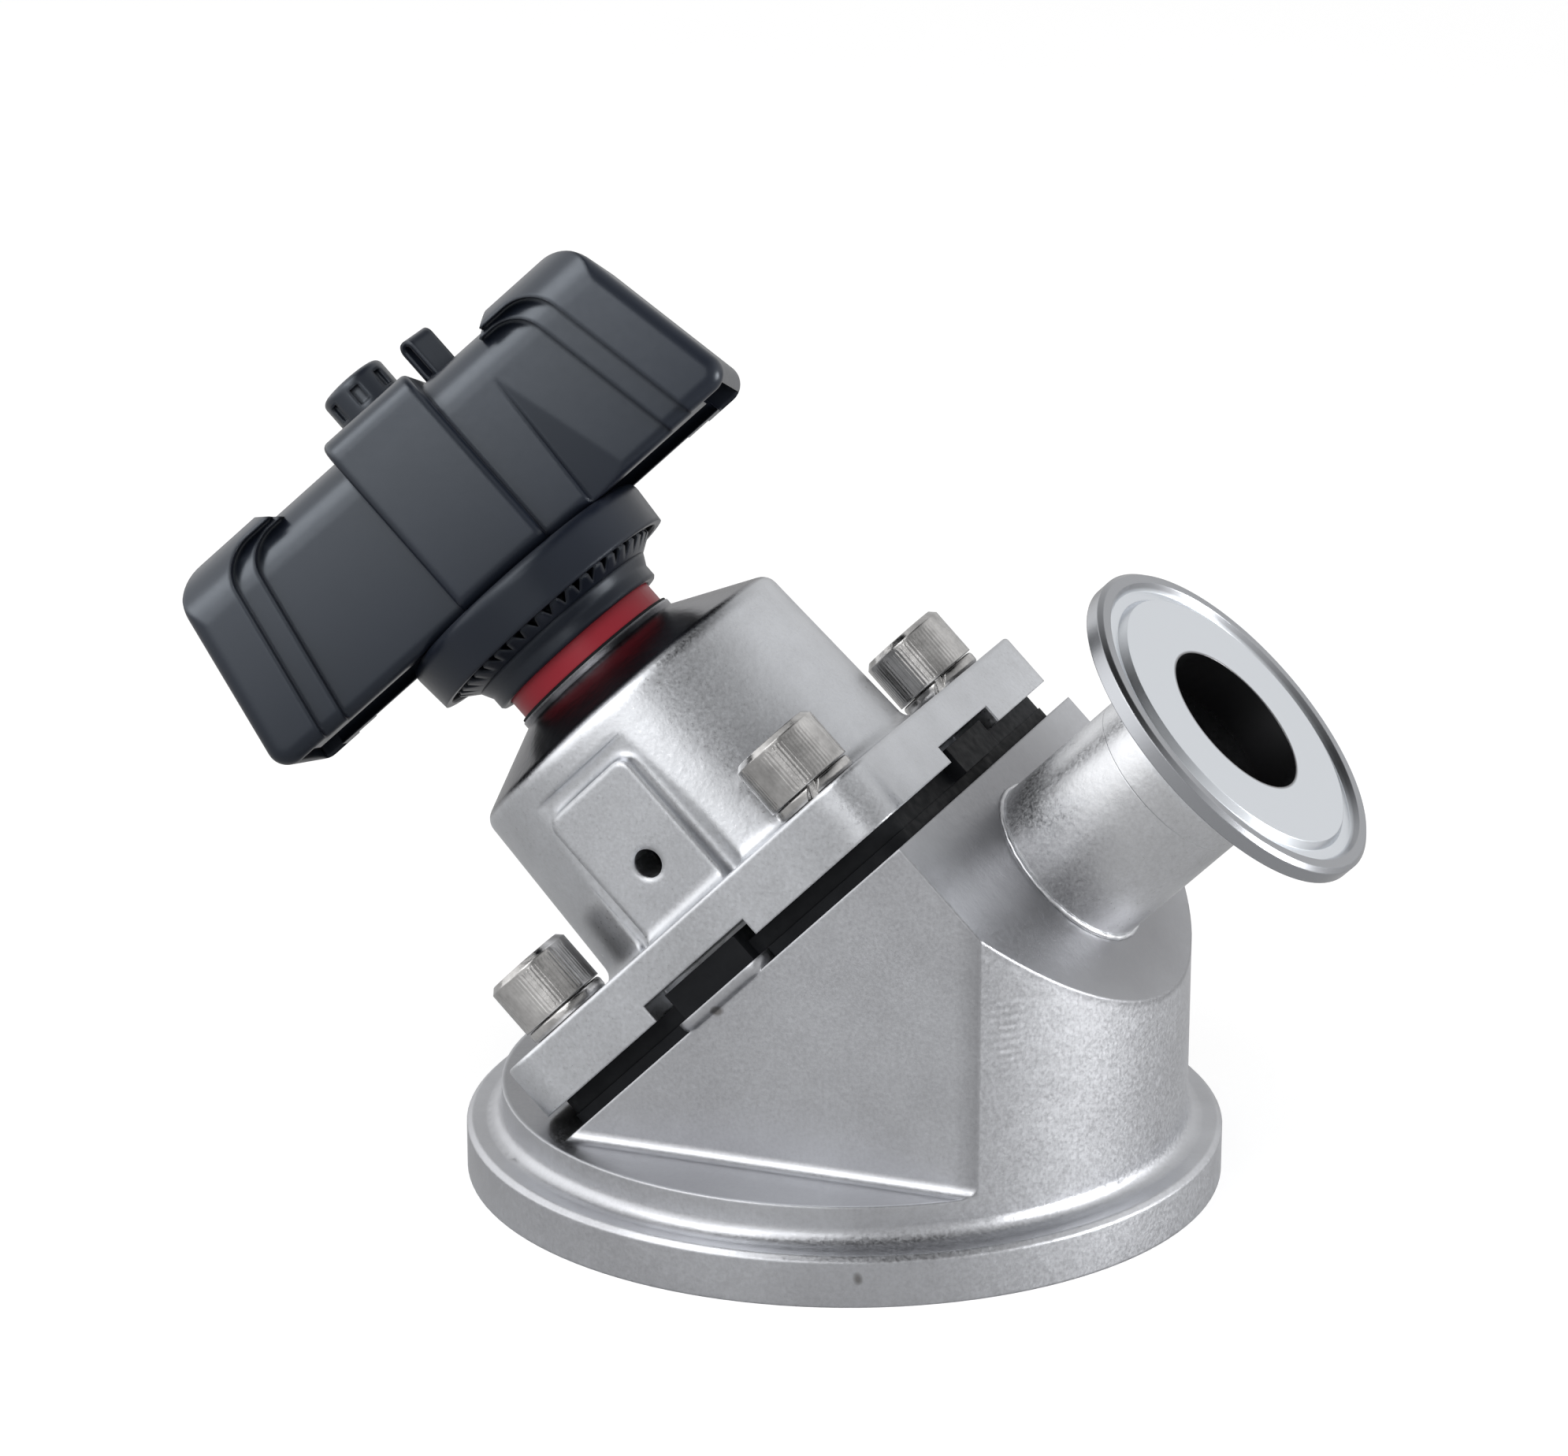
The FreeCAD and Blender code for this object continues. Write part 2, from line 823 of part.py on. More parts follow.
def make_weep_boss(body):
    """A flat boss in a shallow trough on the front, drilled through to the cavity."""
    floor = "(boss_face - trough_depth)"
    trough = new_sketch(body, "trough_outline", "XZ_Plane", level(floor))
    half = "(boss_half + trough_width)"
    rectangle(trough, "-" + half, half, FLANGE_TOP, "boss_top + trough_width")
    raised(body, "trough", trough, "barrel_foot", "Pocket", reverse=True)
    boss = new_sketch(body, "boss_outline", "XZ_Plane", level(floor + " - boss_round"))
    rectangle(boss, "-boss_half", "boss_half", FLANGE_TOP, "boss_top")
    raised(body, "boss", boss, "trough_depth + boss_round")
    eased(
        body,
        "boss_corners",
        "boss_round",
        lambda e: near(e.BoundBox.ZMin, size("boss_top"))
        and near(e.BoundBox.ZMax, size("boss_top"))
        and near(abs(e.CenterOfMass.x), size("boss_half")),
    )
    eased(body, "trough_rounds", "trough_round", is_boss_foot)
    eased(
        body,
        "boss_foot",
        "barrel_round",
        lambda e: near(e.BoundBox.ZMin, size(FLANGE_TOP))
        and near(e.BoundBox.ZMax, size(FLANGE_TOP))
        and near(e.BoundBox.YMin, -size("boss_face"))
        and near(e.BoundBox.YLength, 0),
    )
    hole = new_sketch(body, "weep_outline", "XZ_Plane")
    circle(hole, "weep_radius", "0", "weep_height")
    raised(body, "weep_hole", hole, "barrel_foot + trough_depth", "Pocket", reverse=True)


def is_boss_foot(edge):
    """An edge where the boss rises from the trough's floor."""
    box = edge.BoundBox
    return (
        near(box.YLength, 0)
        and near(box.YMin, size("trough_depth - boss_face"))
        and abs(edge.CenterOfMass.x) < size("boss_half") + 0.1
        and box.ZMax < size("boss_top") + 0.1
        and box.ZMin > size(FLANGE_TOP) - 0.1
        and not near(box.ZMax, size(FLANGE_TOP))
    )


# Screws and washers


def make_bonnet_bolts():
    body = new_body("bonnet_bolts", SEAT)
    under_head = level(FLANGE_TOP + " + washer_thick")
    heads = new_sketch(body, "head_outline", offset=under_head)
    for across, along in four_corners("screw_spacing"):
        circle(heads, "head_radius", across, along)
    raised(body, "heads", heads, "head_height")
    top = size(FLANGE_TOP + " + washer_thick + head_height")
    eased(
        body,
        "head_edges",
        "head_edge",
        lambda e: is_round(e, size("head_radius")) and near(e.BoundBox.ZMin, top),
        "Chamfer",
    )
    sockets = new_sketch(
        body, "socket_outline", offset=level(FLANGE_TOP + " + washer_thick + head_height")
    )
    for across, along in four_corners("screw_spacing"):
        hexagon(sockets, "socket_across", across, along)
    raised(body, "sockets", sockets, "socket_deep", "Pocket")
    shanks = new_sketch(body, "shank_outline", offset=under_head)
    for across, along in four_corners("screw_spacing"):
        circle(shanks, "screw_radius", across, along)
    raised(body, "shanks", shanks, "screw_length", reverse=True)
    return body


def hexagon(sketch, across_flats, across, along):
    corners = []
    for i in range(6):
        reach = across_flats + " / 2 / cos(30) * "
        corners.append(
            (
                across + " + " + reach + "cos(%d)" % (60 * i),
                along + " + " + reach + "sin(%d)" % (60 * i),
            )
        )
    polygon(sketch, corners)


def make_spring_washers():
    body = new_body("spring_washers", SEAT)
    rings = new_sketch(body, "ring_outline", offset=level(FLANGE_TOP))
    gaps = new_sketch(body, "split_outline", offset=level(FLANGE_TOP))
    for across, along in four_corners("screw_spacing"):
        circle(rings, "washer_radius", across, along)
        circle(rings, "washer_bore", across, along)
        rectangle(
            gaps,
            across,
            across + " + head_radius",
            along + " - washer_split / 2",
            along + " + washer_split / 2",
        )
    raised(body, "rings", rings, "washer_thick")
    raised(body, "splits", gaps, "washer_thick", "Pocket", reverse=True)
    return body


# Bush, sleeve and seals


def make_ring(label, place, inner, outer, bottom, top):
    """A plain ring of rectangular section."""
    body = new_body(label, place)
    turned(body, label + "_ring", [(inner, bottom), (outer, bottom), (outer, top), (inner, top)])
    return body


def make_spindle_bush():
    body = new_body("spindle_bush", SEAT)
    top = NECK_TOP + " + bush_top"
    flange = CEILING + " - bush_flange_thick"
    bore = "(spindle_radius + running_gap)"
    turned(
        body,
        "bush",
        [
            (bore, flange),
            ("bush_flange", flange),
            ("bush_flange", CEILING),
            ("bush_radius", CEILING),
            ("bush_radius", top),
            (bore, top),
        ],
    )
    outer = NECK_TOP + " - bush_ring_place"
    turned(
        body,
        "outer_groove",
        [
            ("bush_radius - 2 * ring_thick", outer + " - ring_thick"),
            ("bush_radius", outer + " - ring_thick"),
            ("bush_radius", outer + " + ring_thick"),
            ("bush_radius - 2 * ring_thick", outer + " + ring_thick"),
        ],
        "Groove",
    )
    inner = top + " - spindle_ring_place"
    turned(
        body,
        "inner_groove",
        [
            (bore, inner + " - ring_thick"),
            (bore + " + 2 * ring_thick", inner + " - ring_thick"),
            (bore + " + 2 * ring_thick", inner + " + ring_thick"),
            (bore, inner + " + ring_thick"),
        ],
        "Groove",
    )
    return body


def make_seals():
    """Square-section rings in the bush's grooves and a flat ring on the neck."""
    thin = "ring_thick - running_gap"
    outer = NECK_TOP + " - bush_ring_place"
    inner = NECK_TOP + " + bush_top - spindle_ring_place"
    rings = (
        ("bush_seal", "bush_radius - ring_thick", outer),
        ("spindle_seal", "spindle_radius + running_gap + ring_thick", inner),
    )
    for label, radius, height in rings:
        make_ring(
            label,
            SEAT,
            radius + " - (" + thin + ")",
            radius + " + " + thin,
            height + " - (" + thin + ")",
            height + " + " + thin,
        )
    make_ring(
        "neck_seal", SEAT, "bush_radius", "neck_radius - seal_inset", NECK_TOP, SEAL_TOP
    )


def make_indicator_sleeve():
    body = new_body("indicator_sleeve", SEAT)
    shelf = NECK_TOP + " + bush_top"
    turned(
        body,
        "sleeve",
        [
            ("bush_radius", SEAL_TOP),
            ("sleeve_radius", SEAL_TOP),
            ("sleeve_radius", SLEEVE_TOP),
            ("spindle_radius + seat_gap", SLEEVE_TOP),
            ("spindle_radius + seat_gap", shelf),
            ("bush_radius", shelf),
        ],
    )
    return body


# Lift carriage


def make_compressor():
    body = new_body("compressor", SEAT)
    plate = PRESS_FACE + " + bar_height"
    top = PRESS_FACE + " + hub_height"
    turned(
        body,
        "plate_and_hub",
        [
            ("0", plate),
            ("compressor_radius", plate),
            ("compressor_radius", plate + " + compressor_plate / 2"),
            ("hub_radius + plate_slope", plate + " + compressor_plate"),
            ("hub_radius", plate + " + compressor_plate + plate_slope / 2"),
            ("hub_radius", top),
            ("0", top),
        ],
    )
    bar = new_sketch(body, "bar_outline", offset=level(PRESS_FACE))
    half = "(compressor_radius - bar_height)"
    rectangle(bar, "-bar_half", "bar_half", "-" + half, half)
    raised(body, "press_bar", bar, "bar_height + compressor_plate / 2")
    fins = new_sketch(body, "fin_outline", offset=level(PRESS_FACE + " + fin_lift"))
    rectangle(fins, "-fin_half", "fin_half", "-fin_reach", "fin_reach")
    raised(body, "guide_fins", fins, "fin_height")
    bore = new_sketch(body, "swivel_outline", offset=level(top))
    circle(bore, "spindle_radius + running_gap")
    raised(body, "swivel_bore", bore, "hub_height - swivel_floor", "Pocket")
    thread = new_sketch(body, "stud_hole_outline", offset=level(PRESS_FACE))
    circle(thread, "stud_radius")
    raised(body, "stud_hole", thread, "stud_hole_depth", "Pocket", reverse=True)
    cross = new_sketch(body, "pin_hole_outline", "YZ_Plane")
    for side in ("", "-"):
        circle(cross, "pin_radius", side + PIN_OFFSET, PRESS_FACE + " + pin_height")
    raised(body, "pin_holes", cross, "4 * hub_radius", "Pocket", middle=True)
    return body


def make_compressor_pins():
    body = new_body("compressor_pins", SEAT)
    pins = new_sketch(body, "pin_outline", "YZ_Plane")
    for side in ("", "-"):
        circle(pins, "pin_radius", side + PIN_OFFSET, PRESS_FACE + " + pin_height")
    raised(body, "pins", pins, "2 * pin_half", middle=True)
    return body


def make_diaphragm_stud():
    body = new_body("diaphragm_stud", SEAT)
    foot = "(" + "face_thick + dome_rise + seat_gap" + ")"
    turned(
        body,
        "stud",
        [
            ("0", foot),
            ("stud_head", foot),
            ("stud_head", foot + " + stud_head_thick"),
            ("stud_radius", foot + " + stud_head_thick"),
            ("stud_radius", foot + " + stud_length"),
            ("0", foot + " + stud_length"),
        ],
    )
    return body


# Handwheel


def make_spindle():
    body = new_body("spindle", HANDLE)
    foot = PRESS_FACE + " + swivel_floor + thrust_thick + seat_gap"
    groove = PRESS_FACE + " + pin_height"
    turned(
        body,
        "stem",
        [
            ("0", foot),
            ("spindle_radius - spindle_edge", foot),
            ("spindle_radius", foot + " + spindle_edge"),
            ("spindle_radius", groove + " - pin_radius - pin_play"),
            ("neck_groove", groove + " - pin_radius - pin_play"),
            ("neck_groove", groove + " + pin_radius + pin_play"),
            ("spindle_radius", groove + " + pin_radius + pin_play"),
            ("spindle_radius", HUB_FLOOR),
            ("0", HUB_FLOOR),
        ],
    )
    drive = new_sketch(body, "drive_outline", offset=level(HUB_FLOOR))
    hexagon(drive, "drive_across", "0", "0")
    raised(body, "drive", drive, CORE_SEAT + " - " + HUB_FLOOR)
    hole = new_sketch(body, "screw_hole_outline", offset=level(CORE_SEAT))
    circle(hole, "hub_screw_radius")
    raised(body, "screw_hole", hole, "hub_screw_length", "Pocket")
    return body


def make_lower_collar():
    body = new_body("lower_collar", SEAT)
    inner = "(sleeve_radius + seat_gap)"
    outer = "(sleeve_radius + seat_gap + skirt_wall)"
    turned(
        body,
        "skirt",
        [
            (inner, SKIRT_FOOT),
            (outer + " - seat_gap", SKIRT_FOOT),
            (outer, SKIRT_FOOT + " + seat_gap"),
            (outer, SKIRT_FOOT + " + flare_start"),
            (outer + " + flare_width", SKIRT_FOOT + " + flare_end"),
            (outer, SKIRT_FOOT + " + flare_end"),
            (outer, HUB_FLOOR),
            (inner, HUB_FLOOR),
        ],
    )
    return body


def make_adjuster_ring():
    body = new_body("adjuster_ring", SEAT)
    inner = "(sleeve_radius + seat_gap + skirt_wall)"
    bottom = SKIRT_FOOT + " + flare_end"
    top = COLLAR_FOOT + " + collar_recess"
    turned(
        body,
        "crown",
        [
            (inner, bottom),
            (inner + " + flare_width", bottom),
            ("crown_radius", bottom + " + crown_slope"),
            ("crown_radius", top),
            (inner, top),
        ],
    )
    notch = new_sketch(body, "notch_shape", "YZ_Plane", level("crown_inner"))
    deep = COLLAR_FOOT + " - tooth_depth"
    wide = COLLAR_FOOT + " + seat_gap"
    polygon(notch, [("0", deep), ("tooth_half", wide), ("-tooth_half", wide)])
    cut = raised(body, "notch", notch, "crown_radius", "Pocket", reverse=True)
    patterned(body, "teeth", cut, "tooth_count")
    return body


def make_hub_collar():
    body = new_body("hub_collar", HANDLE)
    inner = "(sleeve_radius + seat_gap + skirt_wall)"
    lip = "(collar_foot - collar_wall)"
    turned(
        body,
        "hub",
        [
            (inner, COLLAR_FOOT + " + collar_recess"),
            (lip, COLLAR_FOOT + " + collar_recess"),
            (lip, COLLAR_FOOT),
            ("collar_foot", COLLAR_FOOT),
            ("collar_radius", COLLAR_FOOT + " + collar_slope"),
            ("collar_radius", COLLAR_TOP),
            ("0", COLLAR_TOP),
            ("0", HUB_FLOOR),
            (inner, HUB_FLOOR),
        ],
    )
    eased(
        body,
        "hub_round",
        "collar_round",
        lambda e: is_round(e, size("collar_radius")) and near(e.BoundBox.ZMin, size(COLLAR_TOP)),
    )
    drive_hole(body, "hub", HUB_FLOOR, COLLAR_TOP)
    return body


def drive_hole(body, name, foot, top):
    """A six-sided hole for the end of the spindle."""
    sketch = new_sketch(body, name + "_drive_outline", offset=level(top))
    hexagon(sketch, "(drive_across + 2 * running_gap)", "0", "0")
    raised(body, name + "_drive_hole", sketch, top + " - " + foot, "Pocket")


def leaned(foot, height):
    """How far out a leaning face of the handwheel is at a height."""
    return "(" + foot + " - (" + height + " - " + COLLAR_TOP + ") * tan(lip_lean))"


def lean_outline(inner, outer, top):
    """A section with leaning sides, from one end of the handwheel to the other or at one end."""
    return [
        (leaned(inner, COLLAR_TOP) if inner else "-" + leaned(outer, COLLAR_TOP), COLLAR_TOP),
        (leaned(outer, COLLAR_TOP), COLLAR_TOP),
        (leaned(outer, top), top),
        (leaned(inner, top) if inner else "-" + leaned(outer, top), top),
    ]


def mirrored(outline):
    return [("-" + across, along) for across, along in outline]


def handle_block(name, outlines, depth):
    """A block with one or more outlines in the plane of the arms, centred across it."""
    body = new_body(name)
    sketch = new_sketch(body, name + "_outline", "XZ_Plane")
    for outline in outlines:
        polygon(sketch, outline)
    raised(body, name + "_pad", sketch, "2 * " + depth, middle=True)
    return body


def box_outline(half, top):
    return [("-" + half, COLLAR_TOP), (half, COLLAR_TOP), (half, top), ("-" + half, top)]


def is_level_edge(edge, depth, height):
    """A side edge that runs along the arms at a height."""
    box = edge.BoundBox
    return is_side_edge(edge, depth) and near(box.ZMin, size(height)) and near(box.ZLength, 0)


def is_cross_edge(edge, depth, place, height):
    """An edge that runs across the arms at a place and height."""
    middle = edge.CenterOfMass
    return (
        near(edge.BoundBox.YLength, 2 * size(depth))
        and near(abs(middle.x), size(place))
        and near(middle.z, size(height))
    )


def rounded_block(name, half, depth, top, edge):
    """A block over the middle whose upper side edges are rounded."""
    block = handle_block(name, [box_outline(half, top)], depth)
    eased(block, name + "_rounds", edge, lambda e: is_level_edge(e, depth, top))
    return block


def middle_block():
    depth = "block_depth"
    block = rounded_block("middle", "block_half", depth, "block_top", "block_round")
    eased(
        block, "middle_foot", "block_foot_round", lambda e: is_level_edge(e, depth, COLLAR_TOP)
    )
    eased(block, "middle_edges", "block_edge", lambda e: is_upright_edge(e, depth))
    return block


def is_upright_edge(edge, depth):
    return is_side_edge(edge, depth) and near(edge.BoundBox.XLength, 0)


def spanning_block(name, outer, depth, top, corner, edge):
    """A block from end to end whose ends lean inwards, rounded all round."""
    block = handle_block(name, [lean_outline(None, outer, top)], depth)
    upper = leaned(outer, top)
    eased(block, name + "_corners", corner, lambda e: is_cross_edge(e, depth, upper, top))
    eased(
        block,
        name + "_foot",
        "lip_foot_round",
        lambda e: is_cross_edge(e, depth, leaned(outer, COLLAR_TOP), COLLAR_TOP),
    )
    eased(block, name + "_rounds", edge, lambda e: is_side_edge(e, depth))
    return block


def hooded_ends(name, inner, outer, depth, top, under, bend, corner, edge, crown):
    """What is left of a spanning block at its ends, with a hood that curves over each arm."""
    block = spanning_block(name, outer, depth, top, corner, edge)
    envelope = rounded_block(name + "_envelope", outer, depth, top, crown)
    combined(block, name + "_crown", "Common", [envelope])
    gap = new_sketch(block, name + "_gap_outline", "XZ_Plane")
    polygon(gap, lean_outline(None, inner, under))
    raised(block, name + "_gap", gap, "3 * " + depth, "Pocket", middle=True)
    bent = leaned(inner, under)
    eased(block, name + "_bend", bend, lambda e: is_bend(e, bent, under))
    middle = new_sketch(block, name + "_middle_outline", "XZ_Plane")
    wide = "(hood_end + hood_slope)"
    polygon(
        middle,
        [
            ("-hood_end", COLLAR_TOP),
            ("hood_end", COLLAR_TOP),
            ("hood_end", "step_under"),
            (wide, "(lip_top + 1)"),
            ("-" + wide, "(lip_top + 1)"),
            ("-hood_end", "step_under"),
        ],
    )
    raised(block, name + "_middle", middle, "3 * " + depth, "Pocket", middle=True)
    return block


def is_bend(edge, place, height):
    """The inner edge between the upright part of an end and its hood."""
    middle = edge.CenterOfMass
    return (
        edge.BoundBox.YLength > 1
        and near(edge.BoundBox.ZLength, 0)
        and near(abs(middle.x), size(place))
        and near(middle.z, size(height))
    )


def scoop_tool():
    """A shallow wedge that leaves a dent in the front of an arm, deepest at its lower left."""
    body = new_body("scoop")
    along = "vector(scoop_right; -scoop_height; 0)"
    place = "placement(vector(scoop_place; scoop_top; arm_half); rotation(" + along
    sketch = new_sketch(body, "scoop_outline", "XZ_Plane", place + "; scoop_tilt))")
    polygon(
        sketch,
        [("0", "0"), ("-scoop_left", "-scoop_height"), ("scoop_right", "-scoop_height")],
    )
    raised(body, "scoop_pad", sketch, "scoop_reach")
    return body


def end_blocks():
    return [
        hooded_ends(
            "lip",
            "lip_inner",
            "lip_outer",
            "lip_depth",
            "lip_top",
            "lip_under",
            "lip_bend",
            "lip_corner",
            "lip_round",
            "lip_crown",
        ),
        hooded_ends(
            "step",
            "(lip_inner - step_width)",
            "(lip_outer - step_width)",
            "step_depth",
            "step_top",
            "step_under",
            "step_bend",
            "step_corner",
            "step_round",
            "step_crown",
        ),
    ]


def lip_hollow():
    outer = "(lip_outer - handle_wall)"
    depth = "(lip_depth - handle_wall)"
    top = "(lip_top - handle_wall)"
    outline = lean_outline("(lip_inner + handle_wall)", outer, top)
    hollow = handle_block("lip_hollow", [outline, mirrored(outline)], depth)
    eased(
        hollow,
        "lip_hollow_rounds",
        "lip_crown - handle_wall",
        lambda e: is_level_edge(e, depth, top),
    )
    return hollow


def make_handwheel():
    """A hollow moulding: two arms, a middle block and hooded ends, open below."""
    body = new_body("handwheel", HANDLE)
    arms = new_sketch(body, "arm_outline", "XZ_Plane")
    polygon(arms, box_outline("arm_reach", "arm_top"))
    raised(body, "arms", arms, "2 * arm_half", middle=True)
    for name, height, radius in (
        ("arm_rounds", "arm_top", "arm_round"),
        ("arm_foot", COLLAR_TOP, "arm_foot_round"),
    ):
        eased(body, name, radius, lambda e: is_level_edge(e, "arm_half", height))
    combined(body, "scooped", "Cut", [scoop_tool()])
    combined(body, "grips", "Fuse", [middle_block()] + end_blocks())
    hollows = [
        spanning_block(
            "arm_hollow",
            "(lip_outer - handle_wall)",
            "(arm_half - handle_wall)",
            "(arm_top - handle_wall)",
            "lip_corner - handle_wall",
            "hollow_round",
        ),
        rounded_block(
            "middle_hollow",
            "(block_half - handle_wall)",
            "(block_depth - handle_wall)",
            "(arm_top - handle_wall)",
            "hollow_round",
        ),
        lip_hollow(),
    ]
    combined(body, "hollows", "Cut", hollows)
    core = new_sketch(body, "core_outline", offset=level(COLLAR_TOP))
    circle(core, "core_radius")
    raised(body, "core", core, "arm_top - handle_wall / 2 - " + COLLAR_TOP)
    ribs = new_sketch(body, "rib_outline", "XZ_Plane")
    for side in ("", "-"):
        inner = side + "(core_radius - rib_half)"
        rectangle(ribs, inner, side + "rib_reach", "rib_foot", "arm_top - handle_wall / 2")
    raised(body, "ribs", ribs, "2 * rib_half", middle=True)
    drive_hole(body, "handwheel", COLLAR_TOP, CORE_SEAT)
    well = new_sketch(body, "well_outline", offset=level("block_top"))
    circle(well, "cap_radius")
    raised(body, "cap_well", well, "block_top - " + CORE_SEAT, "Pocket")
    return body


def make_handle_screw():
    body = new_body("handle_screw", HANDLE)
    foot = CORE_SEAT + " + hub_washer_thick"
    turned(
        body,
        "screw",
        [
            ("0", foot + " - hub_screw_reach"),
            ("hub_screw_radius", foot + " - hub_screw_reach"),
            ("hub_screw_radius", foot),
            ("hub_screw_head", foot),
            ("hub_screw_head", foot + " + hub_screw_head_height"),
            ("0", foot + " + hub_screw_head_height"),
        ],
    )
    socket = new_sketch(body, "key_outline", offset=level(foot + " + hub_screw_head_height"))
    hexagon(socket, "hub_screw_socket", "0", "0")
    raised(body, "key_hole", socket, "hub_screw_head_height / 2", "Pocket")
    return body


def make_lock_eye():
    """A narrow arch beside the middle block that a padlock or seal goes through."""
    body = new_body("lock_eye", EYE)
    top = "arm_top + eye_height"
    half = "(eye_thick / 2)"
    arch = new_sketch(body, "arch_outline", "YZ_Plane")
    rectangle(arch, "-" + half, half, "arm_top", top)
    raised(body, "arch", arch, "2 * eye_half", middle=True)
    eased(body, "arch_top", "eye_thick / 2 - eye_edge", lambda e: is_eye_edge(e, top, half))
    rim = "(eye_thick / 2 - eye_rim)"
    slot = new_sketch(body, "slot_outline", "YZ_Plane")
    rectangle(slot, "-" + rim, rim, "arm_top + eye_rim", top + " - eye_rim")
    raised(body, "slot", slot, "3 * eye_half", "Pocket", middle=True)
    eased(body, "slot_top", rim + " - eye_edge", lambda e: is_eye_edge(e, top + " - eye_rim", rim))
    return body


def is_eye_edge(edge, top, half):
    return (
        near(edge.BoundBox.ZMin, size(top))
        and near(edge.BoundBox.YLength, 0)
        and near(abs(edge.BoundBox.YMin), size(half))
    )


def make_limiter_knob():
    body = new_body("limiter_knob", KNOB)
    stem = CAP_FOOT + " - pivot_length + cap_thick"
    top = KNOB_FOOT + " + knob_height"
    turned(
        body,
        "knob",
        [
            ("0", stem),
            ("pivot_radius", stem),
            ("pivot_radius", KNOB_FOOT),
            ("knob_radius", KNOB_FOOT),
            ("knob_radius", top),
            ("0", top),
        ],
    )
    eased(
        body,
        "knob_top",
        "knob_edge",
        lambda e: is_round(e, size("knob_radius")) and near(e.BoundBox.ZMin, size(top)),
    )
    slot = new_sketch(body, "knob_slot_outline", "YZ_Plane", level("knob_radius - knob_slot_deep"))
    low = KNOB_FOOT + " + (knob_height - knob_slot_height) / 2"
    rectangle(slot, "-knob_slot_half", "knob_slot_half", low, low + " + knob_slot_height")
    cut = raised(body, "knob_slot", slot, "knob_radius", "Pocket", reverse=True)
    patterned(body, "knob_slots", cut, "knob_slots")
    return body


def make_small_rings():
    thrust_foot = PRESS_FACE + " + swivel_floor"
    rings = (
        ("thrust_washer", "thrust_bore", "thrust_radius", thrust_foot, "thrust_thick"),
        (
            "screw_washer",
            "(hub_screw_radius + running_gap)",
            "hub_washer_radius",
            CORE_SEAT,
            "hub_washer_thick",
        ),
        ("top_cap", "(pivot_radius + running_gap)", "cap_radius", CAP_FOOT, "cap_thick"),
        (
            "knob_clip",
            "pivot_radius",
            "clip_radius",
            CAP_FOOT + " - seat_gap - clip_thick",
            "clip_thick",
        ),
    )
    for label, inner, outer, foot, thick in rings:
        make_ring(label, HANDLE, inner, outer, foot, foot + " + " + thick)


def build():
    make_valve_body()
    make_outlet_tube()
    make_outlet_ferrule()
    make_diaphragm_face()
    make_diaphragm_backing()
    make_bonnet()
    make_bonnet_bolts()
    make_spring_washers()
    make_spindle_bush()
    make_seals()
    make_indicator_sleeve()
    make_compressor()
    make_compressor_pins()
    make_diaphragm_stud()
    make_spindle()
    make_lower_collar()
    make_adjuster_ring()
    make_hub_collar()
    make_handwheel()
    make_handle_screw()
    make_lock_eye()
    make_limiter_knob()
    make_small_rings()


def pieces():
    """The bodies to hand in: those that no other body uses up."""
    for item in document.Objects:
        if item.TypeId == "PartDesign::Body" and not item.getParentGeoFeatureGroup():
            yield item


def check():
    for item in document.Objects:
        if any(word in item.State for word in ("Invalid", "Error")):
            raise ValueError(item.Name + " failed")
    for piece in pieces():
        if piece.Shape.isNull() or not piece.Shape.isValid():
            raise ValueError(piece.Label + " has no sound shape")


def write_parts():
    os.makedirs("parts", exist_ok=True)
    for piece in pieces():
        piece.Shape.exportStep("parts/" + piece.Label + ".step")
        print(piece.Label, len(piece.Shape.Solids), round(piece.Shape.Volume, 1))


fill_sheet()
build()
check()
write_parts()
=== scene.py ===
import math

import bmesh
import bpy
from mathutils import Matrix, Vector


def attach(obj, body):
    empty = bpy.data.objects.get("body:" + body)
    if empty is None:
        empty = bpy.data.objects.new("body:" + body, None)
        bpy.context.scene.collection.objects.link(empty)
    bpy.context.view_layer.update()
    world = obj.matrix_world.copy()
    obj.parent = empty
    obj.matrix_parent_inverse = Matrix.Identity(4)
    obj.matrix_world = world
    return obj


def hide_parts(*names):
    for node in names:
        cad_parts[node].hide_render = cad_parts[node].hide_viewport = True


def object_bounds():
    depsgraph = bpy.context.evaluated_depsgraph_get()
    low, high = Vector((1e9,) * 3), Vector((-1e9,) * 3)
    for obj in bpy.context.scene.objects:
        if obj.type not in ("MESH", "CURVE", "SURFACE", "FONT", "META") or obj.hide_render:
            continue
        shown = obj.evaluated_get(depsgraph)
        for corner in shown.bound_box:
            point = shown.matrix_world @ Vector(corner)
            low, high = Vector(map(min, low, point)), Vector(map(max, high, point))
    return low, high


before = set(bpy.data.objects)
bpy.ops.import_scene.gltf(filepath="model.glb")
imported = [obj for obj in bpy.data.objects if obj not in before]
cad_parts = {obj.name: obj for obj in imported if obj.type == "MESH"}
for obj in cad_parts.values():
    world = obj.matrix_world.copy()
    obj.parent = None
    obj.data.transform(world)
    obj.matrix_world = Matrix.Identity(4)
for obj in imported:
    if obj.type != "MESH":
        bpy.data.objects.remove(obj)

CAD_BOX = [list(corner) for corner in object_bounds()]
MM = 0.001

# The photograph's camera: where it stands round the valve, and what it looks at
CAMERA_AZIMUTH = math.radians(20.838)
CAMERA_ELEVATION = math.radians(17.355)
CAMERA_ROLL = math.radians(0.035)
CAMERA_DISTANCE = 697.445 * MM
AIM_ACROSS = -8.569 * MM
AIM_UP = 60.7 * MM
FOCAL_PIXELS = 6203.523
PHOTO_WIDTH = 1990
SENSOR = 36
CLIP_START = 10 * MM

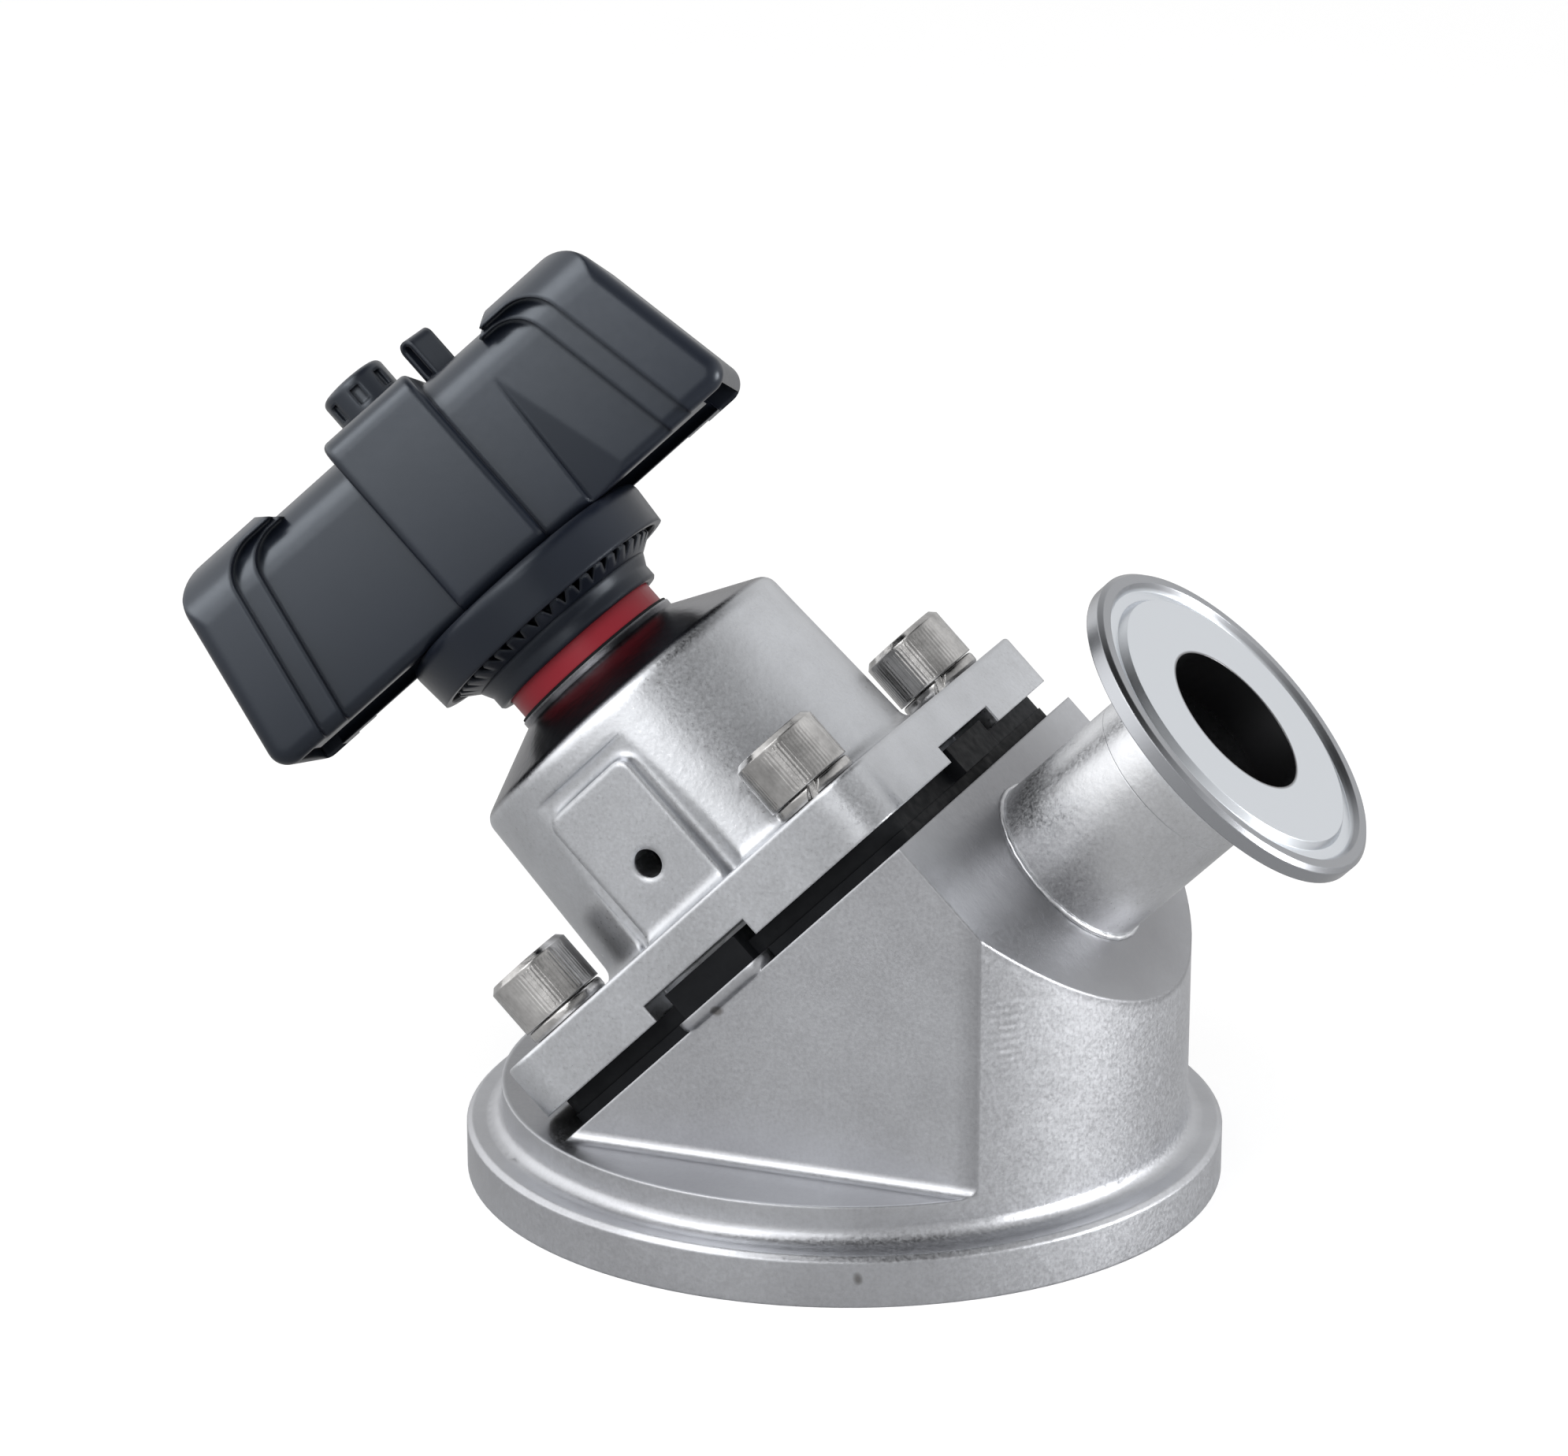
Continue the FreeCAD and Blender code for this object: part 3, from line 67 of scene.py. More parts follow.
# The spindle's axis and the outlet's, a point on each, and the direction across the valve
STEM_AXIS = Vector((-1, 0, 1)).normalized()
SEAT = Vector((-0.0038, 0, 0.0354))
OUTLET_AXIS = Vector((1, 0, 1)).normalized()
OUTLET_CENTRE = Vector((0.05588, 0, 0.071038))
ACROSS = Vector((0, 1, 0))

# Colours of each material: its light and its dark shade
BODY_STEEL = ((0.545, 0.555, 0.58), (0.43, 0.435, 0.455))
BONNET_STEEL = ((0.655, 0.67, 0.7), (0.5, 0.51, 0.53))
OUTLET_STEEL = ((0.7, 0.71, 0.73), (0.52, 0.525, 0.54))
SCREW_STEEL = ((0.64, 0.63, 0.62), (0.3, 0.295, 0.29))
BRONZE = ((0.62, 0.45, 0.22), (0.5, 0.34, 0.16))
BLACK_PLASTIC = ((0.011, 0.014, 0.023), (0.008, 0.0105, 0.017))
RED_PLASTIC = ((0.41, 0.027, 0.044), (0.36, 0.022, 0.036))
RUBBER = ((0.011, 0.012, 0.014), (0.006, 0.0065, 0.008))
FLOOR = ((0.48, 0.48, 0.48), (0.47, 0.47, 0.47))

# Roughness of each, and how round its edges look; the bonnet's cast edges are rounder,
# and EDGE_SAMPLES is how many directions the rounding is taken from
BODY_ROUGH, BODY_EDGE = 0.37, 0.5 * MM
BONNET_ROUGH, BONNET_EDGE = 0.35, (0.5 * MM, 1.4 * MM)
OUTLET_ROUGH, OUTLET_EDGE = 0.36, 0.2 * MM
SCREW_ROUGH, SCREW_EDGE = 0.15, 0.3 * MM
BRONZE_ROUGH, BRONZE_EDGE = 0.3, 0.2 * MM
BLACK_ROUGH, BLACK_EDGE = 0.29, 0.9 * MM
RED_ROUGH, RED_EDGE = 0.34, 0.2 * MM
RUBBER_ROUGH, RUBBER_EDGE = 0.5, 0.2 * MM
EDGE_SAMPLES = 6

# Blasted steel: the noise (scale, detail and roughness) of its speckle, clouds and stains
# and how much each darkens and lightens it, its dark specks, and its grain, coarsest last:
# a noise, the bump's strength and its height
SPECKLE, SPECKLE_SHADE = (1900, 3, 0.7), (-0.3, 0.3)
CLOUDS, CLOUD_SHADE = (30, 4, 0.6), (0, 0.7)
STAINS, STAIN_SHADE = (75, 5, 0.7), (-0.1, 0.4)
SPECKS = (110, 1, 0.5)
SPECK_LEVELS = (0.8, 0.82)
SPECK_COLOUR = (0.12, 0.11, 0.1)
SPECK_DARKNESS = 0.7
GRAIN = (
    ((1300, 3, 0.6), 0.15, 0.14 * MM),
    ((330, 3, 0.55), 0.13, 0.4 * MM),
    ((70, 2, 0.5), 0.1, 1.2 * MM),
)

# The bonnet, in heights above the seat: where its cast form starts, and the cone below the
# handwheel, which is smoother and painted dark with the handwheel's shadow and reflection
CAST_FOOT = (12.5 * MM, 13.6 * MM)
CONE_FOOT = (40.6 * MM, 41.3 * MM)
CONE_TOP = (47.4 * MM, 47.9 * MM)
CONE_PAINTED_SHADE = (0.15, 0.15, 0.165)
CONE_ROUGH = 0.24

# Plastic: its gloss and tint, and the heights above the seat between which the gloss grows, a
# painted sheen that makes upper parts brighter than lower ones
BLACK_GLOSS = 0.75
BLACK_SHEEN = (0.85, 0.92, 1)
RED_GLOSS = 0.45
RED_SHEEN = (1, 1, 1)
PAINTED_SHEEN_FADE = (64 * MM, 88 * MM)
RUBBER_GLOSS = 0.15

# The body's shading: along the cheek's end, at the tube's root and below the ledge
SHADE_COLOUR = (0.17, 0.17, 0.18)
CHEEK_SHADE = 0.42
CHEEK_END = 32.2 * MM
CHEEK_SHADE_START = (CHEEK_END - 3.5 * MM, CHEEK_END)
CHEEK_SHADE_STOP = (CHEEK_END - 0.3 * MM, CHEEK_END + 0.3 * MM)
CHEEK_FACE = (-36.3 * MM, -36.0 * MM)
CHEEK_FOOT = (12.2 * MM, 12.6 * MM)
ROOT_SHADE = 0.65
ROOT_REACH = (16 * MM, 42 * MM)
END_FACE = (-33.4 * MM, -32.9 * MM)
LEDGE_SHADE = 0.5
LEDGE_FOOT = (11.8 * MM, 12.1 * MM)
LEDGE_TOP = (12.3 * MM, 12.8 * MM)
LEDGE_EDGE = (48.0 * MM, 48.4 * MM)

# Grinding marks on the cylinder, beside the cheek's end
MARK_PITCH = 1.15 * MM
MARK_DEPTH = 0.12 * MM
MARK_STRENGTH = 0.14
MARK_WOBBLE = 2.2
MARK_START = (CHEEK_END + 0.8 * MM, CHEEK_END + 2 * MM)
MARK_STOP = (CHEEK_END + 3 * MM, CHEEK_END + 5 * MM)
MARK_FOOT = (29 * MM, 32 * MM)
MARK_TOP = (38 * MM, 41 * MM)

# The outlet, about its own axis: the ferrule's back, the bore's edge and the rim's; the bore and
# the rim beyond it get painted shade
FERRULE_BACK = (-9.2 * MM, -6.4 * MM)
FERRULE_COLOUR = (0.72, 0.75, 0.79)
FERRULE_ROUGH = 0.26
TUBE_GRAIN = 1.1
FERRULE_GRAIN = 0.25
BORE_EDGE = (11.4 * MM, 11.7 * MM)
BORE_PAINTED_SHADE = (0.2, 0.2, 0.21)
RIM_EDGE = (22.6 * MM, 22.9 * MM)
RIM_PAINTED_SHADE = (0.36, 0.37, 0.39)

# Screws: half their spacing, and the knurl round each head, in heights above the seat
SCREW_SPACING = 25.75 * MM
KNURL_RIDGES = 72
KNURL_DEPTH = 0.06 * MM
KNURL_STRENGTH = 0.22
KNURL_FOOT = (14.6 * MM, 15.0 * MM)
KNURL_TOP = (20.8 * MM, 21.2 * MM)

# Spring washers: their seat above the diaphragm's, their outline and their slanted split,
# and for each its side along and across the valve and the angle where its split stands
FLANGE_TOP = 12.4 * MM
WASHER_RADII = (4.25 * MM, 6.35 * MM)
WASHER_HEIGHTS = (0.06 * MM, 1.86 * MM)
WASHER_CORNER = 0.5 * MM
WASHER_HEIGHT = 2 * MM
WASHER_SPLIT = math.radians(11)
WASHER_SLANT = math.radians(14)
WASHER_STEPS = 64
WASHERS = ((1, 1, -62), (1, -1, -62), (-1, 1, 140), (-1, -1, 100))

# The weld bead at the tube's root: its radius, how far out it sits, the waves in it for
# each turn (two outwards, one along the tube), and how high they are
TUBE_RADIUS = 12.7 * MM
OUTLET_LENGTH = 32.6 * MM
BEAD = 0.42 * MM
BEAD_OUT = 0.35 * BEAD
BEAD_SIDES = 10
BEAD_STEPS = 180
BEAD_WAVES = (23, 41, 31)
WAVE_HEIGHTS = (0.05 * BEAD, 0.035 * BEAD, 0.09 * BEAD)

# Angles above which an edge stays sharp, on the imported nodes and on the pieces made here
NODE_SHARP = math.radians(24)
PIECE_SHARP = math.radians(40)

# The view's right, front and up, and the white backdrop that the camera sees, which is
# BACKDROP bright
RIGHT = Vector((0.9345, 0.3557, 0))
FRONT = Vector((0.3557, -0.9345, 0))
UP = Vector((0, 0, 1))
WHITE = (1, 1, 1, 1)
BACKDROP = 1.0

# Patches of the studio that metal mirrors: degrees to the right of the camera's own
# direction, degrees above the floor, and how bright
STUDIO = {
    "front": (-15, 10, 0.45),
    "right": (75, 8, 1.0),
    "back_right": (138, 20, 0.6),
    "back": (180, 12, 0.35),
    "back_left": (-112, 15, 1.5),
    "front_left": (-55, 8, 0.95),
}
PATCH_EDGE = 0.45

# How bright the world is for everything that doesn't mirror it
DAYLIGHT = 0.65

# The floor: half its side, and how much it glows for the camera and in the metal
FLOOR_HALF = 3.0
FLOOR_ROUGH = 0.7
FLOOR_GLOW = 0.62
FLOOR_MIRRORED = 0.08

# Lamps: place, width and height, and power, and the point that they all face
LAMPS = {
    "key": ((-0.5, -0.7, 0.95), (0.7, 0.7), 5.0),
    "side": ((0.6, 0.08, 0.09), (0.25, 0.18), 2.7),
    "front": ((-0.01, -0.81, 0.5), (0.5, 0.3), 0.9),
}
LAMP_AIM = Vector((0, 0, 0.06))


# Shader helpers


class Shader:
    """A node material with one Principled BSDF, and short calls to add to it."""

    def __init__(self, name):
        self.material = bpy.data.materials.new(name)
        self.material.use_nodes = True
        self.tree = self.material.node_tree
        self.surface = self.tree.nodes["Principled BSDF"]

    def node(self, kind, **settings):
        made = self.tree.nodes.new("ShaderNode" + kind)
        for name, value in settings.items():
            setattr(made, name, value)
        return made

    def link(self, source, target):
        self.tree.links.new(source, target)

    def put(self, socket, value):
        """Links a socket to another node's output, or gives it a plain value."""
        if isinstance(value, bpy.types.NodeSocket):
            self.link(value, socket)
        else:
            socket.default_value = value

    def set(self, name, value):
        self.put(self.surface.inputs[name], value)

    def source(self, name):
        """What feeds an input of the surface now."""
        return self.surface.inputs[name].links[0].from_socket

    def place(self):
        """Coordinates in metres, in the object's own frame."""
        return self.node("TexCoord").outputs["Object"]

    def noise(self, scale, detail=2.0, roughness=0.5, place=None):
        made = self.node("TexNoise")
        made.inputs["Scale"].default_value = scale
        made.inputs["Detail"].default_value = detail
        made.inputs["Roughness"].default_value = roughness
        self.link(place or self.place(), made.inputs["Vector"])
        return made.outputs["Fac"]

    def spread(self, value, low, high, start=0.3, end=0.7):
        """Maps a value between start and end to a number between low and high."""
        made = self.node("MapRange")
        made.inputs["From Min"].default_value = start
        made.inputs["From Max"].default_value = end
        made.inputs["To Min"].default_value = low
        made.inputs["To Max"].default_value = high
        self.link(value, made.inputs["Value"])
        return made.outputs["Result"]

    def math(self, operation, *values):
        return self.filled(self.node("Math", operation=operation), values).outputs[0]

    def vector(self, operation, output, *values):
        return self.filled(self.node("VectorMath", operation=operation), values).outputs[output]

    def filled(self, made, values):
        """The node, once its first inputs have the values."""
        for index, value in enumerate(values):
            self.put(made.inputs[index], value)
        return made

    def product(self, first, *others):
        for other in others:
            first = self.math("MULTIPLY", first, other)
        return first

    def between(self, value, foot, top):
        """1 between foot and top, fading within each of the two, and 0 outside."""
        return self.product(self.spread(value, 0, 1, *foot), self.spread(value, 1, 0, *top))

    def mixed(self, factor, first, second):
        """A mix of two colours, each of them plain or from other nodes."""
        made = self.node("Mix", data_type="RGBA")
        for name, colour in (("A", first), ("B", second)):
            plain = isinstance(colour, tuple)
            self.put(made.inputs[name], (*colour, 1) if plain else colour)
        self.link(factor, made.inputs["Factor"])
        return made.outputs["Result"]

    def mottled(self, shades, scale, detail, roughness=0.5):
        """Clouds of a light and a dark shade."""
        light, dark = shades
        return self.mixed(self.spread(self.noise(scale, detail, roughness), 0, 1), dark, light)

    def blended(self, factor, first, second):
        """A mix of a number from other nodes and a plain one."""
        kept = self.product(first, self.math("SUBTRACT", 1.0, factor))
        return self.math("ADD", kept, self.product(factor, second))

    def roughen(self, value, rough, less, more):
        """Sets the roughness, from rough - less to rough + more as the value rises."""
        self.set("Roughness", self.spread(value, rough - less, rough + more))

    def bump(self, height, strength, distance, under):
        """A normal that height bends, on top of the one under it."""
        made = self.node("Bump")
        self.put(made.inputs["Strength"], strength)
        made.inputs["Distance"].default_value = distance
        self.link(height, made.inputs["Height"])
        self.link(under, made.inputs["Normal"])
        return made.outputs["Normal"]

    def soft_edges(self, radius):
        """A normal that makes edges look rounded."""
        made = self.node("Bevel", samples=EDGE_SAMPLES)
        self.put(made.inputs["Radius"], radius)
        return made.outputs["Normal"]

    def about(self, axis, centre):
        """Offset from centre, radius from the axis through it, and height along the axis."""
        offset = self.vector("SUBTRACT", "Vector", self.place(), centre)
        cross = self.vector("CROSS_PRODUCT", "Vector", offset, axis)
        radius = self.vector("LENGTH", "Value", cross)
        height = self.vector("DOT_PRODUCT", "Value", offset, axis)
        return offset, radius, height


# Materials


def blasted_steel(s, shades, rough, edge, grain=1.0):
    """Bead-blasted stainless steel: a fine grain, faint clouds and a few dark specks."""
    light, dark = shades
    speckle = s.noise(*SPECKLE)
    clouds = s.spread(s.noise(*CLOUDS), *CLOUD_SHADE)
    stains = s.spread(s.noise(*STAINS), *STAIN_SHADE)
    shade = s.math("ADD", s.math("ADD", clouds, stains), s.spread(speckle, *SPECKLE_SHADE))
    specks = s.spread(s.noise(*SPECKS), 0, SPECK_DARKNESS, *SPECK_LEVELS)
    s.set("Metallic", 1.0)
    s.set("Base Color", s.mixed(specks, s.mixed(shade, dark, light), SPECK_COLOUR))
    s.roughen(speckle, rough, less=0.09, more=0.11)
    normal = s.soft_edges(edge)
    for noise, strength, height in GRAIN:
        normal = s.bump(s.noise(*noise), s.product(grain, strength), height, normal)
    s.set("Normal", normal)


def body_steel(shades, rough, edge):
    """Blasted steel, shaded at the cheek's end, the tube's root and the ledge, with marks."""
    s = Shader("body_steel")
    blasted_steel(s, shades, rough, edge)
    spot = s.node("SeparateXYZ")
    s.link(s.place(), spot.inputs["Vector"])
    along, across, height = spot.outputs
    _, from_outlet, reach = s.about(OUTLET_AXIS, OUTLET_CENTRE)
    _, from_middle, _ = s.about(UP, (0, 0, 0))
    cheek = s.product(
        s.between(along, CHEEK_SHADE_START, CHEEK_SHADE_STOP),
        s.spread(across, 1, 0, *CHEEK_FACE),
        s.spread(height, 0, CHEEK_SHADE, *CHEEK_FOOT),
    )
    root = s.product(
        s.spread(from_outlet, ROOT_SHADE, 0, *ROOT_REACH), s.spread(reach, 0, 1, *END_FACE)
    )
    ledge = s.product(
        s.between(height, LEDGE_FOOT, LEDGE_TOP), s.spread(from_middle, LEDGE_SHADE, 0, *LEDGE_EDGE)
    )
    shade = s.math("MAXIMUM", s.math("MAXIMUM", cheek, root), ledge)
    s.set("Base Color", s.mixed(shade, s.source("Base Color"), SHADE_COLOUR))
    wobble = s.product(s.noise(scale=500), MARK_WOBBLE)
    wave = s.math("SINE", s.math("ADD", s.product(height, math.tau / MARK_PITCH), wobble))
    marks = s.product(
        wave, s.between(along, MARK_START, MARK_STOP), s.between(height, MARK_FOOT, MARK_TOP)
    )
    s.set("Normal", s.bump(marks, MARK_STRENGTH, MARK_DEPTH, s.source("Normal")))
    return s.material


def bonnet_steel(shades, rough, edge):
    """Cast and blasted steel whose cone, below the handwheel, is smoother and painted dark: painted
    shadow and reflection of the handwheel.
    """
    s = Shader("bonnet_steel")
    _, _, height = s.about(STEM_AXIS, SEAT)
    blasted_steel(s, shades, rough, s.spread(height, *edge, *CAST_FOOT))
    cone = s.between(height, CONE_FOOT, CONE_TOP)
    # Painted shadow and reflection of the handwheel darken the cone
    s.set("Base Color", s.mixed(cone, s.source("Base Color"), CONE_PAINTED_SHADE))
    s.set("Roughness", s.blended(cone, s.source("Roughness"), CONE_ROUGH))
    return s.material


def outlet_steel(name, shades, rough, edge):
    """Grainy tube steel that turns smooth and bright on the ferrule, with painted shade on its rim
    and in the bore.
    """
    s = Shader(name)
    _, radius, height = s.about(OUTLET_AXIS, OUTLET_CENTRE)
    on_ferrule = s.spread(height, 0, 1, *FERRULE_BACK)
    in_bore = s.spread(radius, 1, 0, *BORE_EDGE)
    on_rim = s.spread(radius, 0, 1, *RIM_EDGE)
    grain = s.spread(on_ferrule, TUBE_GRAIN, FERRULE_GRAIN, 0, 1)
    blasted_steel(s, shades, rough, edge, grain)
    colour = s.mixed(on_ferrule, s.source("Base Color"), FERRULE_COLOUR)
    # Painted shade: the rim and the bore are darker than the steel itself
    colour = s.mixed(on_rim, colour, RIM_PAINTED_SHADE)
    s.set("Base Color", s.mixed(in_bore, colour, BORE_PAINTED_SHADE))
    s.set("Roughness", s.blended(on_ferrule, s.source("Roughness"), FERRULE_ROUGH))
    return s.material


def turned_bronze(shades, rough, edge):
    """Lathe-turned bronze: fine rings about the spindle's axis."""
    s = Shader("bush_bronze")
    _, radius, height = s.about(STEM_AXIS, SEAT)
    spot = s.node("CombineXYZ")
    s.link(radius, spot.inputs["X"])
    s.link(height, spot.inputs["Y"])
    rings = s.noise(scale=2200, roughness=0.6, place=spot.outputs["Vector"])
    s.set("Metallic", 1.0)
    s.set("Base Color", s.mottled(shades, scale=60, detail=3))
    s.roughen(rings, rough, less=0.04, more=0.06)
    soft = s.soft_edges(edge)
    s.set("Normal", s.bump(rings, strength=0.12, distance=0.08 * MM, under=soft))
    return s.material


def screw_steel(shades, rough, edge):
    """Polished screws, each with a fine straight knurl round its head."""
    s = Shader("bolt_steel")
    offset, _, height = s.about(STEM_AXIS, SEAT)
    from_screw = []
    for way in (OUTLET_AXIS, ACROSS):
        out = s.math("ABSOLUTE", s.vector("DOT_PRODUCT", "Value", offset, way))
        from_screw.append(s.math("SUBTRACT", out, SCREW_SPACING))
    turn = s.math("ARCTAN2", *from_screw)
    ridges = s.math("SINE", s.product(turn, KNURL_RIDGES))
    knurl = s.product(ridges, s.between(height, KNURL_FOOT, KNURL_TOP))
    scuffs = s.noise(scale=900, detail=3, roughness=0.7)
    s.set("Metallic", 1.0)
    s.set("Base Color", s.mottled(shades, scale=140, detail=4, roughness=0.7))
    s.roughen(scuffs, rough, less=0.07, more=0.1)
    worn = s.bump(scuffs, strength=0.3, distance=0.1 * MM, under=s.soft_edges(edge))
    s.set("Normal", s.bump(knurl, KNURL_STRENGTH, KNURL_DEPTH, worn))
    return s.material


def moulded_plastic(name, shades, rough, edge, gloss, sheen):
    """Satin moulded plastic with a fine spark-eroded grain."""
    s = Shader(name)
    _, _, height = s.about(STEM_AXIS, SEAT)
    s.set("Base Color", s.mottled(shades, scale=55, detail=3))
    s.roughen(s.noise(scale=900), rough, less=0.015, more=0.02)
    # Painted sheen: the gloss grows with height, so upper faces look lit and lower ones shaded
    s.set("Specular IOR Level", s.spread(height, gloss / 2, gloss, *PAINTED_SHEEN_FADE))
    s.set("Specular Tint", (*sheen, 1))
    grain = s.noise(scale=2400, roughness=0.6)
    soft = s.soft_edges(edge)
    s.set("Normal", s.bump(grain, strength=0.07, distance=0.06 * MM, under=soft))
    return s.material


def moulded_rubber(shades, rough, edge):
    """Dull rubber with a faint grain."""
    s = Shader("black_rubber")
    s.set("Base Color", s.mottled(shades, scale=120, detail=3))
    s.roughen(s.noise(scale=700), rough, less=0, more=0.18)
    s.set("Specular IOR Level", RUBBER_GLOSS)
    grain = s.noise(scale=1500, detail=3, roughness=0.6)
    soft = s.soft_edges(edge)
    s.set("Normal", s.bump(grain, strength=0.25, distance=0.1 * MM, under=soft))
    return s.material


def make_materials():
    """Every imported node's material, by the node's name."""
    outlet = (OUTLET_STEEL, OUTLET_ROUGH, OUTLET_EDGE)
    black = (BLACK_PLASTIC, BLACK_ROUGH, BLACK_EDGE, BLACK_GLOSS, BLACK_SHEEN)
    red = (RED_PLASTIC, RED_ROUGH, RED_EDGE, RED_GLOSS, RED_SHEEN)
    uses = [
        (body_steel(BODY_STEEL, BODY_ROUGH, BODY_EDGE), "valve_body"),
        (bonnet_steel(BONNET_STEEL, BONNET_ROUGH, BONNET_EDGE), "bonnet compressor"),
        (outlet_steel("tube_steel", *outlet), "outlet_tube"),
        (outlet_steel("ferrule_steel", *outlet), "outlet_ferrule"),
        (
            screw_steel(SCREW_STEEL, SCREW_ROUGH, SCREW_EDGE),
            "bonnet_bolts spring_washers compressor_pins thrust_washer diaphragm_stud "
            "spindle handle_screw screw_washer knob_clip",
        ),
        (turned_bronze(BRONZE, BRONZE_ROUGH, BRONZE_EDGE), "spindle_bush"),
        (
            moulded_plastic("black_plastic", *black),
            "lower_collar adjuster_ring hub_collar handwheel top_cap lock_eye limiter_knob",
        ),
        (moulded_plastic("red_plastic", *red), "indicator_sleeve"),
        (
            moulded_rubber(RUBBER, RUBBER_ROUGH, RUBBER_EDGE),
            "diaphragm_face diaphragm_backing neck_seal bush_seal spindle_seal",
        ),
    ]
    return {name: material for material, names in uses for name in names.split()}


def smooth(mesh, sharp):
    """Smooth shading that keeps edges above the angle sharp."""
    mesh.polygons.foreach_set("use_smooth", [True] * len(mesh.polygons))
    mesh.set_sharp_from_angle(angle=sharp)


def dress_nodes(materials):
    """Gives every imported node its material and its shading."""
    for name, material in materials.items():
        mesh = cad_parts[name].data
        mesh.materials.clear()
        mesh.materials.append(material)
        smooth(mesh, NODE_SHARP)


# Extra pieces


def swept_ring(bm, outline, centre, axis, across, sweep, steps):
    """Sweeps an outline of radii and heights about an axis; sweep gives angle and offsets."""
    side = axis.cross(across)
    loops = []
    for step in range(steps):
        loop = []
        for radius, height in outline:
            angle, out, rise = sweep(step / steps, height)
            way = across * math.cos(angle) + side * math.sin(angle)
            loop.append(bm.verts.new(centre + way * (radius + out) + axis * (height + rise)))
        loops.append(loop)
    return loops


def bridge(bm, first, second):
    """Faces all round between two loops of the same length."""
    for index in range(len(first)):
        after = (index + 1) % len(first)
        bm.faces.new((first[index], second[index], second[after], first[after]))


def rounded_outline(radii, heights, corner, steps=4):
    """A rectangle of radii and heights with rounded corners."""
    inner, outer = radii
    bottom, top = heights
    spots = (
        (outer - corner, bottom + corner, -90),
        (outer - corner, top - corner, 0),
        (inner + corner, top - corner, 90),
        (inner + corner, bottom + corner, 180),
    )
    points = []
    for radius, height, start in spots:
        for step in range(steps + 1):
            angle = math.radians(start + 90 * step / steps)
            points.append((radius + corner * math.cos(angle), height + corner * math.sin(angle)))
    return points


def add_piece(name, bm, material, body):
    """Makes a finished mesh into a piece that rides on a body."""
    bmesh.ops.recalc_face_normals(bm, faces=bm.faces)
    mesh = bpy.data.meshes.new(name)
    bm.to_mesh(mesh)
    bm.free()
    mesh.materials.append(material)
    smooth(mesh, PIECE_SHARP)
    piece = bpy.data.objects.new(name, mesh)
    bpy.context.scene.collection.objects.link(piece)
    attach(piece, body)
    return piece


def make_washers(material):
    """Split spring washers with rounded edges, each turned its own way."""
    bm = bmesh.new()
    outline = rounded_outline(WASHER_RADII, WASHER_HEIGHTS, WASHER_CORNER)
    for along, across, split_turn in WASHERS:
        spot = SEAT + STEM_AXIS * FLANGE_TOP
        spot += (OUTLET_AXIS * along + ACROSS * across) * SCREW_SPACING
        start = math.radians(split_turn) + WASHER_SPLIT / 2

        def sweep(share, height):
            slant = (height / WASHER_HEIGHT - 0.5) * WASHER_SLANT
            return start + slant + share * (math.tau - WASHER_SPLIT), 0, 0

        loops = swept_ring(bm, outline, spot, STEM_AXIS, OUTLET_AXIS, sweep, WASHER_STEPS)
        for first, second in zip(loops, loops[1:]):
            bridge(bm, first, second)
        bm.faces.new(loops[0])
        bm.faces.new(loops[-1])
    washers = add_piece("split_washers", bm, material, "valve")
    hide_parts("spring_washers")


def make_weld(material):
    """The thin, slightly uneven weld bead round the tube's root."""
    bm = bmesh.new()
    outline = []
    for step in range(BEAD_SIDES):
        angle = math.tau * step / BEAD_SIDES
        radius = TUBE_RADIUS + BEAD_OUT + BEAD * math.cos(angle)
        outline.append((radius, BEAD_OUT + BEAD * math.sin(angle)))

    def sweep(share, height):
        angle = math.tau * share
        coarse, fine, along = (
            high * math.sin(waves * angle + shift)
            for shift, (waves, high) in enumerate(zip(BEAD_WAVES, WAVE_HEIGHTS))
        )
        return angle, coarse + fine, along

    root = OUTLET_CENTRE - OUTLET_AXIS * OUTLET_LENGTH
    loops = swept_ring(bm, outline, root, OUTLET_AXIS, STEM_AXIS, sweep, BEAD_STEPS)
    for index, loop in enumerate(loops):
        bridge(bm, loop, loops[(index + 1) % len(loops)])
    add_piece("weld_bead", bm, material, "valve")


# Floor, light and camera


def make_floor():
    """A pale floor that keeps the valve's shadow but looks white in the open."""
    half, low = FLOOR_HALF, CAD_BOX[0][2]
    mesh = bpy.data.meshes.new("floor")
    corners = [(-half, -half, low), (half, -half, low), (half, half, low), (-half, half, low)]
    mesh.from_pydata(corners, [], [(0, 1, 2, 3)])
    floor = bpy.data.objects.new("floor", mesh)
    bpy.context.scene.collection.objects.link(floor)
    s = Shader("floor")
    s.set("Base Color", s.mottled(FLOOR, scale=6, detail=2))
    s.set("Roughness", FLOOR_ROUGH)
    path = s.node("LightPath")
    seen = s.product(path.outputs["Is Camera Ray"], FLOOR_GLOW)
    mirror_ray = s.math(
        "MAXIMUM", path.outputs["Is Glossy Ray"], path.outputs["Is Transmission Ray"]
    )
    s.set("Emission Color", WHITE)
    s.set("Emission Strength", s.math("ADD", seen, s.product(mirror_ray, FLOOR_MIRRORED)))
    mesh.materials.append(s.material)


